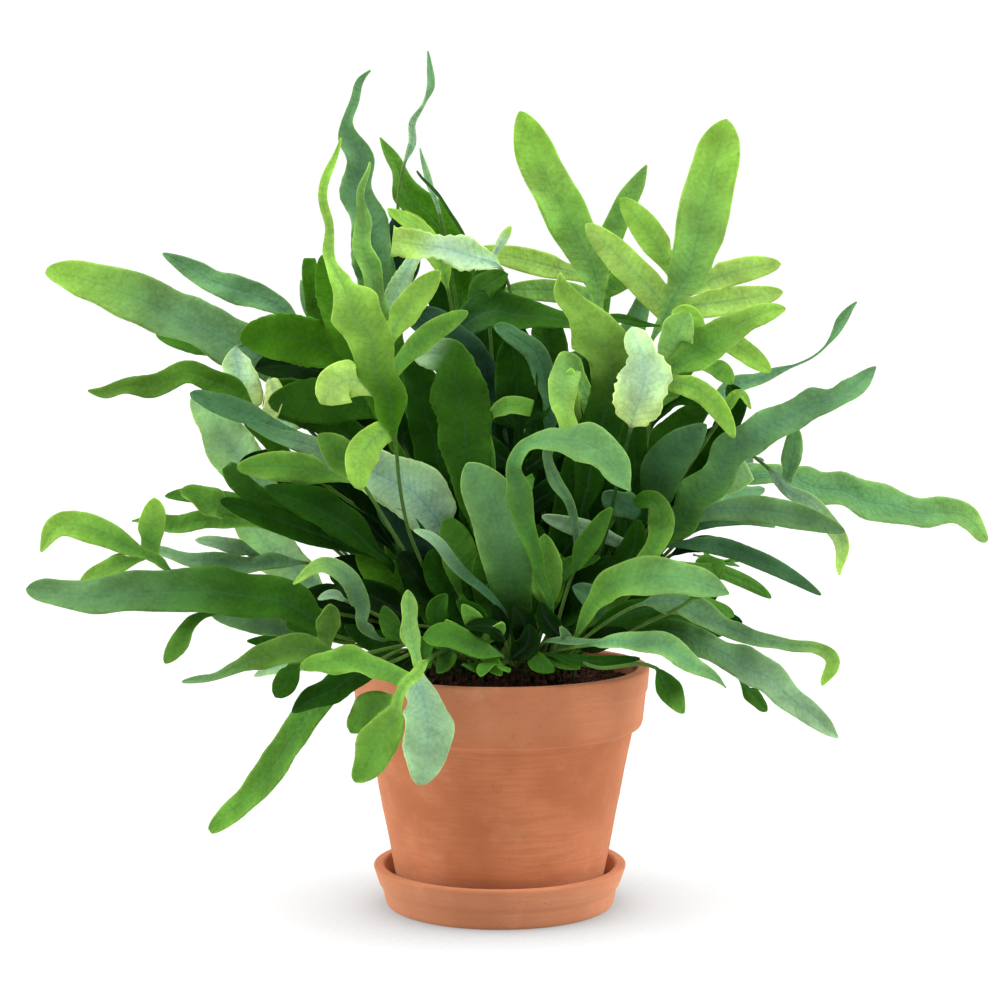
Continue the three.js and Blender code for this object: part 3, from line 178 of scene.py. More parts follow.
# The fronds as the model has them.
FRONDS = {
    "frond_front_left_hanging": leaf(
        (0, 0), "bright", [2.4, 15, 20, 21, 21, 16, 4], (380, 660, -98), (345, 682, -118), (315, 705, -126),
        (292, 738, -128), (271, 772, -126), (242, 803, -122), (210, 831, -118),
        stalk=[(408, 650, -70)], face=(-0.3, -1, 0.4), wave=0.6,
        base="mid", tip="bright", start=0.1),
    "frond_left_pale_olive": leaf(
        (0, 1), "olive", [2.4, 5, 9, 13, 1], (260, 604, -62), (208, 614, -74), (192, 624, -80),
        (178, 643, -84), (166, 664, -86),
        stalk=[(405, 632, -34), (340, 614, -48)], face=(0, -1, 0.8),
        base="mid", tip="bright"),
    "frond_front_five_lobed": leaf(
        (0, 4), "lime", 26, (428, 660, -112), (408, 682, -132), (390, 722, -142), (372, 755, -144),
        (355, 782, -142),
        stalk=[(452, 650, -76)], face=(0, -1, 0.3), wave=1.5,
        lobes=[(0.1, 15, (408, 590, -122)), (0.26, 19, (300, 668, -150), (350, 652, -142)),
               (0.45, 22, (351, 733, -128), (368, 702, -128)),
               (0.24, 32, (418, 785, -158), (438, 725, -152))],
        tip="bright", start=0.0, crimp=1.2, ruffle=2.0, lobe_tones=["fresh", "bright", "bright", "haze"]),
    "frond_left_big_strap": leaf(
        (0, 3), "dark", [2.4, 30, 34, 31, 28, 19, 1], (340, 637, -62), (290, 605, -72), (230, 594, -80),
        (160, 592, -84), (95, 597, -86), (50, 593, -86), (26, 589, -86),
        stalk=[(400, 640, -46)], face=(0, -1, 0.7), wave=0.35,
        base="leaf", tip="grey", start=0.3, crimp=0.3, sway=0.5),
    "frond_front_left_dark": leaf(
        (0, 2), "dark", 23, (392, 662, -112), (365, 672, -126), (330, 690, -138), (292, 712, -146),
        stalk=[(420, 652, -86)], face=(0, -1, 0.8)),
    "frond_left_olive_lobed": leaf(
        (0, 5), "olive", [2.4, 20, 17, 9, 6, 1], (345, 656, -88), (302, 649, -100), (262, 656, -112),
        (236, 669, -118), (210, 678, -121), (182, 682, -122),
        stalk=[(424, 644, -60)],
        lobes=[(0.14, 17, (330, 604, -96)), (0.34, 16, (275, 697, -112))],
        tip="grey", start=0.5, lobe_tones=["olive", "leaf"]),
    "frond_left_curling": leaf(
        (0, 7), "blue", 14, (384, 640, -60), (364, 622, -76), (362, 605, -86), (350, 580, -92),
        (322, 565, -94), (293, 584, -96),
        stalk=[(424, 626, -44)], face=(-0.4, -1, 0.3),
        base="grey", tip="lime", start=0.6, ruffle=1.6),
    "frond_young_left": leaf(
        (0, 6), "bright", 15, (468, 656, -52), (450, 645, -55), (423, 637, -62),
        face=(0, -1, 0.8),
        lobes=[(0.4, 10, (452, 628, -62))],
        base="mid"),
    "frond_centre_grey_strap": leaf(
        (0, 9), "blue", [2.4, 26, 36, 33, 1], (512, 640, -48), (512, 600, -66), (506, 550, -92),
        (490, 500, -104), (467, 463, -110),
        face=(0, -1, 0.1), wave=0.5,
        base="leaf", tip="spring", start=0.0),
    "frond_young_centre": leaf(
        (0, 8), "bright", 13, (482, 655, -72), (478, 632, -86), (463, 604, -98),
        lobes=[(0.25, 11, (446, 620, -96)), (0.3, 11, (502, 622, -98))]),
    "frond_young_over_rim": leaf(
        (0, 10), "mid", 11, (505, 662, -78), (492, 664, -98), (480, 676, -122),
        face=(0, -1, 1),
        lobes=[(0.5, 8, (508, 672, -116))]),
    "frond_centre_arching_mint": leaf(
        (0, 11), "pale", [2.4, 8, 12, 17, 10, 10, 20, 28, 21, 1], (552, 625, -62), (542, 580, -84),
        (527, 530, -104), (519, 495, -112), (514, 466, -120), (528, 446, -128), (555, 440, -134),
        (585, 444, -140), (612, 463, -144), (631, 491, -146),
        face=(0, -1, 0.6), point=1.3,
        base="mid", tip="spring", start=0.2, ruffle=1.4),
    "frond_front_right_bright": leaf(
        (0, 13), "bright", [2.4, 11, 22, 27, 21, 1], (573, 640, -70), (592, 606, -98), (614, 584, -114),
        (650, 577, -128), (692, 581, -138), (729, 594, -144),
        wave=0.3, point=1.0,
        lobes=[(0.76, 10, (771, 598, -122), (742, 574, -124))],
        tip="spring", start=0.3, lobe_tones=["mid"]),
    "frond_right_drooping_tip": leaf(
        (0, 15), "mid", [2.4, 19, 22, 13, 10, 9, 8, 9, 1], (636, 606, -92), (670, 602, -99),
        (700, 614, -104), (733, 632, -108), (760, 638, -111), (788, 647, -114), (814, 646, -116),
        (830, 660, -116), (824, 686, -114),
        stalk=[(582, 640, -78)], face=(0, -1, 0.7), wave=1.6, point=0.7,
        base="grey", tip="lime", start=0.6, sway=1.2),
    "frond_front_right_low": leaf(
        (0, 14), "bright", 18, (590, 645, -108), (630, 642, -130), (670, 650, -142), (700, 668, -148),
        (726, 688, -150),
        stalk=[(555, 652, -80)], face=(0, -1, 0.7), point=0.9,
        base="spring", tip="spring"),
    "frond_right_big_blue": leaf(
        (0, 17), "blue", [2.4, 16, 23, 26, 23, 17, 1], (622, 638, -60), (670, 632, -78), (700, 643, -86),
        (733, 661, -92), (767, 679, -96), (800, 706, -98), (838, 738, -98),
        stalk=[(580, 654, -44)], face=(0.1, -1, 0.7), point=0.9,
        lobes=[(0.56, 11, (767, 711, -104))],
        base="leaf", tip="haze", start=0.1, full=0.9, ruffle=1.5, lobe_tones=["leaf"]),
    "frond_front_right_hanging": leaf(
        (0, 16), "dark", 16, (656, 668, -128), (668, 690, -128), (684, 713, -126),
        stalk=[(568, 658, -86), (602, 668, -116), (640, 664, -126)], face=(0.2, -1, 0.3),
        base="leaf", tip="bright"),
    "frond_left_lime_lobed": leaf(
        (1, 0), "lime", 20, (172, 572, -48), (150, 556, -52), (120, 543, -54), (85, 526, -56),
        (60, 527, -56), (40, 551, -56),
        stalk=[(400, 618, -14), (290, 600, -32), (220, 592, -42)], face=(0, -1, 0.6),
        lobes=[(0.2, 18, (154, 498, -56)), (0.24, 14, (80, 582, -48), (115, 565, -48))],
        base="bright", start=0.3, tip="lime"),
    "frond_left_grey_straps": leaf(
        (1, 1), "blue", [5, 14, 14, 9, 1], (305, 563, -24), (260, 564, -28), (205, 562, -30),
        (172, 555, -30), (142, 546, -30),
        stalk=[(400, 606, -8), (345, 575, -18)], face=(0, -1, 0.8),
        lobes=[(0.3, 12, (195, 540, -34), (240, 545, -32))],
        base="grey", tip="haze", sway=1.5),
    "frond_left_middle_lobed": leaf(
        (1, 2), "bright", 15, (275, 527, -14), (215, 522, -18), (165, 523, -20), (132, 521, -20),
        stalk=[(410, 590, -6), (335, 545, -10)], face=(0, -1, 0.6), wave=1.5, point=0.9,
        lobes=[(0.28, 22, (180, 490, -30), (215, 505, -28)), (0.05, 15, (165, 496, -6), (235, 492, -8))],
        sway=1.5, lobe_tones=["bright", "mid"]),
    "frond_left_dark_straps": leaf(
        (1, 3), "dark", 27, (425, 607, -20), (380, 555, -42), (330, 515, -58), (265, 487, -68),
        stalk=[(440, 625, -12)], face=(0, -1, 0.6),
        lobes=[(0.4, 18, (220, 500, -62), (285, 522, -60))]),
    "frond_left_broad_blue": leaf(
        (1, 7), "blue", [24, 46, 34, 15, 3], (447, 538, -12), (420, 500, -22), (378, 474, -32),
        (318, 450, -40), (247, 425, -46),
        stalk=[(470, 590, 0)],
        lobes=[(0.55, 21, (237, 468, -58), (292, 462, -56)), (0.8, 17, (190, 393, -36), (225, 408, -36))],
        base="pale", tip="teal", start=0.3, lobe_tones=["bright", "teal"]),
    "frond_upper_left_dark_lobed": leaf(
        (1, 5), "dark", 29, (408, 470, -8), (388, 432, -12), (370, 392, -18), (352, 358, -24),
        (340, 312, -28), (322, 255, -30),
        stalk=[(440, 540, -2)], face=(0.1, -1, 0.3),
        lobes=[(0.33, 32, (268, 402, -30), (325, 398, -26)), (0.54, 34, (240, 340, -40), (295, 325, -36))],
        base="grass", teeth=1.5, lobe_tones=["leaf", "grass"]),
    "frond_left_wavy": leaf(
        (1, 4), "olive", [2.4, 12, 16, 17, 16, 12, 1], (340, 495, 6), (268, 440, 2), (230, 390, -4),
        (190, 374, -8), (150, 386, -10), (115, 390, -12), (88, 391, -14),
        stalk=[(430, 560, 6)], wave=1.2, point=1.0,
        base="grass", tip="olive", start=0.3, ruffle=1.5, sway=1.5),
    "frond_upper_left_lime_lobed": leaf(
        (1, 6), "lime", [3, 22, 28, 33, 15, 8, 6, 6, 1], (396, 448, -68), (388, 400, -74), (372, 350, -78),
        (355, 310, -78), (338, 284, -76), (332, 258, -72), (327, 226, -68), (325, 185, -62),
        (341, 138, -56),
        stalk=[(434, 600, -24), (425, 572, -36), (408, 528, -52), (400, 488, -62)], face=(0.1, -1, 0.2),
        wave=1.6, point=1.2,
        lobes=[(0.06, 22, (362, 490, -84), (349, 446, -82)), (0.22, 29, (321, 404, -86), (344, 370, -84)),
               (0.24, 15, (468, 312, -76), (425, 330, -78)), (0.34, 19, (440, 271, -84), (404, 308, -84))],
        base="grass", start=0.1, full=0.5, tip="lime", ruffle=1.6, sway=2.0, crimp=1.2,
        lobe_tones=["lime", "acid", "bright", "lime"]),
    "frond_centre_olive": leaf(
        (1, 8), "olive", [2.4, 22, 36, 38, 26, 4], (488, 560, -28), (475, 500, -50), (466, 440, -62),
        (460, 394, -66), (449, 361, -66), (414, 351, -58),
        face=(0, -1, 0.2),
        base="leaf", tip="pale", start=0.85, crimp=1.0, teeth=1.5),
    "frond_centre_lime_strap": leaf(
        (1, 11), "bright", [2.4, 20, 28, 29, 34, 17, 1], (578, 530, -34), (590, 475, -48), (604, 420, -58),
        (613, 372, -64), (597, 335, -66), (572, 305, -64), (559, 273, -60),
        stalk=[(565, 590, -18)], face=(0, -1, 0.1), point=1.2,
        lobes=[(0.36, 15, (572, 368, -76), (562, 412, -74))],
        base="dark", tip="lime", start=0.4, sway=1.5),
    "frond_centre_right_pale": leaf(
        (1, 13), "pale", [19, 32, 39, 22, 1], (631, 428, -78), (639, 402, -84), (646, 377, -86),
        (641, 350, -86), (632, 327, -84),
        stalk=[(576, 600, -26), (604, 540, -50), (618, 480, -66)], face=(-0.3, -1, 0),
        base="butter", tip="mint", start=0.0, full=0.6, crimp=1.0, teeth=3.0, stem="dark"),
    "frond_middle_dark_strap": leaf(
        (1, 9), "dark", [2.4, 20, 26, 25, 13, 7, 1], (455, 420, 12), (450, 345, 8), (482, 314, 2),
        (520, 314, -6), (572, 322, -16), (616, 320, -20), (660, 325, -22),
        stalk=[(492, 540, 12)], face=(0, -1, 0.6), point=1.2,
        lobes=[(0.42, 20, (508, 274, -2), (478, 288, 2))],
        base="ink", tip="leaf", start=0.1, full=0.6),
    "frond_right_centre_lobed": leaf(
        (1, 12), "blue", 29, (612, 560, -24), (645, 520, -34), (664, 470, -42), (682, 445, -46),
        (707, 425, -48),
        stalk=[(580, 600, -14)], face=(0, -1, 0.4),
        lobes=[(0.12, 14, (542, 516, -48), (590, 530, -42)), (0.34, 20, (604, 492, -52))],
        base="dark", tip="teal", start=0.3, lobe_tones=["haze", "teal"]),
    "frond_right_rising_lobed": leaf(
        (1, 14), "blue", [2.4, 23, 25, 24, 23, 18, 1], (655, 555, -22), (682, 518, -28), (712, 480, -32),
        (738, 447, -32), (790, 416, -30), (845, 393, -28), (877, 368, -26),
        stalk=[(585, 620, -8), (622, 588, -16)], wave=1.5, point=1.0,
        lobes=[(0.22, 19, (845, 532, -50), (765, 500, -44)), (0.06, 13, (821, 595, -56), (735, 535, -44))],
        base="mid", start=0.0, full=0.7, ruffle=1.5, sway=2.5, tip="blue", lobe_tones=["grey", "teal"]),
    "frond_right_small_lobed": leaf(
        (1, 16), "lime", 13, (768, 468, 0), (790, 492, -4), (820, 512, -8), (840, 545, -10),
        (841, 575, -10),
        stalk=[(600, 610, 6), (660, 540, 10), (712, 470, 6), (742, 452, 2)], face=(0, -1, 0.4),
        lobes=[(0.16, 14, (795, 426, 0))],
        base="haze", tip="acid", start=0.3, lobe_tones=["spring"]),
    "frond_far_right": leaf(
        (1, 17), "blue", [2.4, 20, 28, 31, 26, 21, 3], (725, 490, 40), (770, 476, 46), (820, 488, 52),
        (870, 501, 56), (920, 514, 60), (960, 515, 62), (987, 541, 62),
        stalk=[(600, 620, 16), (670, 550, 30)], face=(0, -1, 0.8), wave=0.7,
        base="spring", tip="fresh", start=0.7, sway=1.5),
    "frond_right_lime_low": leaf(
        (1, 15), "lime", [2.4, 14, 28, 24, 17, 1], (655, 398, -24), (672, 368, -28), (696, 352, -31),
        (724, 336, -33), (752, 317, -35), (786, 310, -36),
        stalk=[(586, 570, -4), (640, 470, -14)], face=(0, -1, 0.6), web=1.15,
        lobes=[(0.3, 24, (690, 313, -30), (674, 336, -30)), (0.62, 14, (771, 372, -42), (746, 352, -38)),
               (0.43, 13, (732, 384, -42), (722, 368, -38)), (0.14, 15, (734, 438, -46), (716, 386, -42))],
        base="bright", tip="lime", start=0.4, lobe_tones=["fresh", "lime", "bright", "lime"]),
    "frond_left_upper_long": leaf(
        (2, 0), "bright", [2.4, 27, 37, 38, 36, 28, 4], (340, 430, 44), (272, 364, 44), (240, 348, 44),
        (190, 324, 44), (140, 300, 44), (90, 282, 44), (46, 271, 44),
        stalk=[(430, 560, 40)], face=(-0.1, -1, 0.5), wave=0.3,
        base="grey", tip="lime", start=0.55, crimp=0.3, teeth=0.3),
    "frond_left_back_lobed": leaf(
        (2, 1), "blue", 21, (350, 430, 76), (305, 350, 88), (280, 307, 94), (240, 292, 98), (200, 275, 102),
        (163, 253, 104),
        stalk=[(430, 570, 56)],
        lobes=[(0.43, 23, (156, 333, 88), (215, 352, 84)), (0.14, 24, (262, 430, 92))],
        lobe_tones=["mid", "pale"], sway=1.5),
    "frond_top_left_tall": leaf(
        (2, 4), "blue", [3, 24, 30, 24, 19, 7, 6, 1], (410, 420, 50), (388, 345, 50), (375, 260, 50),
        (362, 200, 48), (354, 150, 46), (349, 115, 44), (357, 90, 42), (370, 70, 40),
        stalk=[(448, 540, 48)], face=(0, -1, 0.1), wave=1.5, point=1.4,
        lobes=[(0.37, 28, (402, 210, 62), (402, 262, 60))],
        base="mid", tip="blue", start=0.2, full=0.6, ruffle=1.6, sway=3.5, lobe_tones=["ink"]),
    "frond_top_left_lime": leaf(
        (2, 5), "lime", [2.4, 15, 15, 12, 5, 1], (400, 390, 20), (378, 305, 10), (368, 268, 6),
        (362, 228, 2), (362, 195, -2), (369, 162, -4),
        stalk=[(450, 540, 30)], face=(0.3, -1, 0.1), point=1.2,
        base="grass", tip="fresh", start=0.0, full=0.6, sway=1.5),
    "frond_top_twisted": leaf(
        (2, 6), "blue", [2.4, 7, 6, 3, 6.5, 1], (404, 165, 90), (412, 143, 90), (412, 122, 90),
        (424, 102, 90), (431, 85, 90), (427, 51, 90),
        stalk=[(452, 480, 74), (425, 340, 84), (398, 215, 90)], face=(0.8, -1, 0.1), point=1.2,
        base="haze", tip="blue", start=0.3),
    "frond_top_dark": leaf(
        (2, 7), "dark", [2.4, 26, 26, 27, 24, 11, 1], (468, 350, 102), (456, 270, 108), (446, 238, 110),
        (430, 217, 112), (409, 197, 114), (395, 165, 114), (381, 137, 114),
        stalk=[(475, 500, 88)], face=(0.3, -1, 0.1), point=1.2,
        lobes=[(0.48, 16, (388, 211, 98), (420, 226, 98))],
        base="grass", tip="bright", start=0.6, lobe_tones=["lime"]),
    "frond_top_pale_folded": leaf(
        (2, 8), "pale", [3, 17, 26, 21, 22], (502, 270, 29), (482, 260, 27), (462, 254, 25), (430, 247, 23),
        (392, 242, 20),
        stalk=[(495, 500, 34), (516, 350, 32)], face=(0, -1, 0.3),
        lobes=[(0.8, 14, (381, 330, 18), (396, 288, 16)), (0.12, 7, (511, 226, 30))],
        base="mint", tip="acid", start=0.55, full=0.85, teeth=3.0, crimp=1.0, lobe_tones=["pale"]),
    "frond_top_middle_lobed": leaf(
        (2, 10), "lime", [2.4, 7, 8, 26, 32, 30, 1], (585, 410, 60), (592, 335, 64), (598, 302, 66),
        (590, 262, 66), (565, 215, 64), (540, 165, 62), (520, 111, 60),
        stalk=[(560, 530, 50)], face=(0, -1, 0.2), wave=0.3, point=0.75, web=1.15,
        lobes=[(0.455, 18, (478, 249, 52), (535, 262, 58)), (0.36, 16, (503, 291, 52), (550, 287, 58)),
               (0.39, 16, (641, 269, 72)), (0.14, 22, (532, 372, 52)), (0.2, 22, (648, 345, 84))],
        base="fresh", tip="lime", start=0.4, crimp=0.25, teeth=0.2, ruffle=0.6,
        lobe_tones=["acid", "fresh", "bright", "teal", "teal"]),
    "frond_top_behind": leaf(
        (2, 12), "mid", [2.4, 18, 18, 16, 1], (598, 380, 108), (602, 270, 116), (611, 236, 118),
        (625, 205, 118), (647, 165, 118),
        stalk=[(580, 520, 90)], face=(0, -1, 0.2), wave=0.3, point=1.0,
        tip="fresh", start=0.2),
    "frond_top_right_lobed": leaf(
        (2, 11), "lime", [2.4, 8, 17, 28, 36, 32, 1], (648, 349, 12), (665, 315, 8), (676, 294, 6),
        (686, 277, 4), (702, 215, 0), (717, 160, -2), (727, 119, -4),
        stalk=[(570, 560, 26), (612, 460, 20)], face=(0, -1, 0.3), wave=0.3, point=0.75, web=1.15,
        lobes=[(0.365, 20, (621, 198, 6), (652, 234, 2)), (0.2, 22, (586, 224, 8), (630, 266, 6)),
               (0.343, 18, (781, 264, -6), (735, 268, -2)), (0.215, 19, (783, 292, -8), (728, 303, -2))],
        base="fresh", tip="lime", start=0.3, crimp=0.25, teeth=0.2, ruffle=0.6,
        lobe_tones=["lime", "acid", "acid", "acid"]),
    "frond_right_back_thin": leaf(
        (2, 15), "mid", [2.4, 14, 9, 1.6, 1.6, 8, 1], (700, 420, 88), (735, 387, 94), (765, 376, 98),
        (798, 364, 102), (823, 349, 104), (841, 323, 106), (857, 302, 106),
        stalk=[(600, 560, 54), (652, 480, 72)], face=(0, -1, 0.7), point=1.2,
        base="blue"),
    "frond_centre_round": leaf(
        (0, 12), "bright", 23, (546, 610, -58), (545, 575, -68), (545, 534, -74),
        face=(0, -1, 0.3)),
    # The inner fronds' deep and dark tones are painted shade of the plant's inside.
    "frond_inner_middle": leaf(
        (1, 10), "dark", 30, (511, 610, -8), (514, 560, -14), (518, 500, -20), (520, 440, -24),
        (516, 385, -24), (512, 335, -22),
        face=(0, -1, 0.2),
        pairs=(5, 50),
        base="deep", tip="dark"),
    "frond_inner_left": leaf(
        (2, 2), "dark", 30, (445, 610, 68), (425, 545, 96), (405, 480, 112), (386, 420, 120),
        (372, 362, 124),
        face=(0, -1, 0.2),
        pairs=(5, 72),
        base="deep", tip="dark"),
    "frond_inner_right": leaf(
        (2, 14), "dark", 30, (570, 610, 72), (590, 545, 112), (612, 480, 134), (632, 420, 146),
        (645, 360, 150),
        face=(0, -1, 0.2),
        pairs=(5, 50),
        base="deep", tip="dark"),
    "frond_back_middle": leaf(
        (2, 9), "mid", 33, (506, 510, 125), (505, 455, 165), (508, 430, 205), (510, 440, 245),
        (512, 490, 275),
        stalk=[(508, 590, 90)], face=(0, 0.3, 1),
        pairs=(4, 72)),
    "frond_back_left_low": leaf(
        (2, 3), "bright", 30, (432, 588, 130), (402, 575, 175), (378, 585, 215), (362, 620, 245),
        stalk=[(458, 620, 88)], face=(-0.2, 0.3, 1),
        pairs=(3, 62)),
    "frond_back_right_low": leaf(
        (2, 13), "bright", 30, (582, 588, 130), (614, 575, 175), (636, 585, 215), (650, 620, 245),
        stalk=[(556, 620, 88)], face=(0.2, 0.3, 1),
        pairs=(3, 62)),
    "frond_back_right_high": leaf(
        (2, 16), "blue", 30, (690, 510, 150), (714, 472, 190), (730, 456, 225), (742, 470, 255),
        stalk=[(600, 596, 75), (652, 555, 112)], face=(0.2, 0.3, 1),
        pairs=(3, 55)),
    "frond_back_right_side": leaf(
        (2, 17), "mid", 26, (646, 598, 68), (684, 576, 98), (712, 560, 130), (732, 562, 158),
        stalk=[(600, 620, 56)], face=(0.2, 0, 1),
        pairs=(3, 42)),
}

# Young leaves round the stems' feet. Those in the deep and dark tones carry painted shade there.
YOUNG = [
    leaf((0, 5), "leaf", 15, (441, 632, -80), (438, 612, -86), (447, 594, -88)),
    leaf((0, 7), "dark", 15, (478, 640, -84), (474, 615, -90), (457, 600, -92)),
    leaf((0, 8), "deep", 15, (505, 642, -86), (490, 626, -96), (464, 630, -100), face=(0, -1, 0.9)),
    leaf((0, 10), "deep", 17, (522, 645, -74), (524, 625, -80), (516, 606, -82)),
    leaf((0, 10), "deep", 16, (512, 660, -82), (527, 645, -88), (528, 624, -90)),
    leaf((0, 6), "mid", [2.4, 16, 18, 1], (502, 656, -92), (475, 648, -102), (445, 636, -108),
         (423, 637, -110), face=(0, -1, 0.8)),
    leaf((0, 4), "leaf", 14, (436, 640, -78), (424, 650, -96), (430, 668, -108)),
    leaf((0, 9), "leaf", 9, (492, 664, -90), (475, 668, -104), (462, 664, -112), face=(0, -1, 1)),
    leaf((0, 12), "dark", [2.4, 9, 8, 1], (545, 655, -86), (575, 660, -100), (605, 662, -108),
         (640, 658, -110), face=(0, -1, 1)),
    leaf((0, 12), "grey", [2.4, 7, 6, 1], (545, 642, -80), (568, 642, -94), (600, 642, -100),
         (622, 639, -102), face=(0, -1, 1)),
    leaf((0, 11), "grey", 8, (560, 648, -84), (566, 638, -90), (561, 626, -92)),
    leaf((0, 2), "mid", 14, (400, 640, -64), (388, 622, -70), (383, 606, -72)),
    leaf((0, 1), "dark", 16, (410, 645, -50), (370, 640, -56), (345, 625, -60)),
    leaf((0, 9), "deep", 12, (500, 650, -70), (500, 622, -76), (494, 604, -78)),
    leaf((0, 13), "deep", 14, (560, 640, -76), (548, 620, -82), (540, 602, -84)),
    leaf((0, 14), "deep", 16, (580, 650, -70), (600, 640, -80), (628, 632, -86)),
    leaf((0, 3), "deep", 13, (425, 655, -70), (405, 662, -86), (392, 676, -98)),
    leaf((0, 5), "mid", 13, (452, 652, -80), (446, 662, -92), (436, 672, -96)),
    leaf((0, 8), "grass", 12, (486, 654, -84), (492, 664, -96), (502, 675, -102)),
    leaf((0, 11), "leaf", 13, (530, 654, -84), (540, 663, -96), (554, 672, -102)),
    leaf((0, 12), "mid", 10, (546, 655, -80), (562, 663, -92), (580, 668, -96)),
]
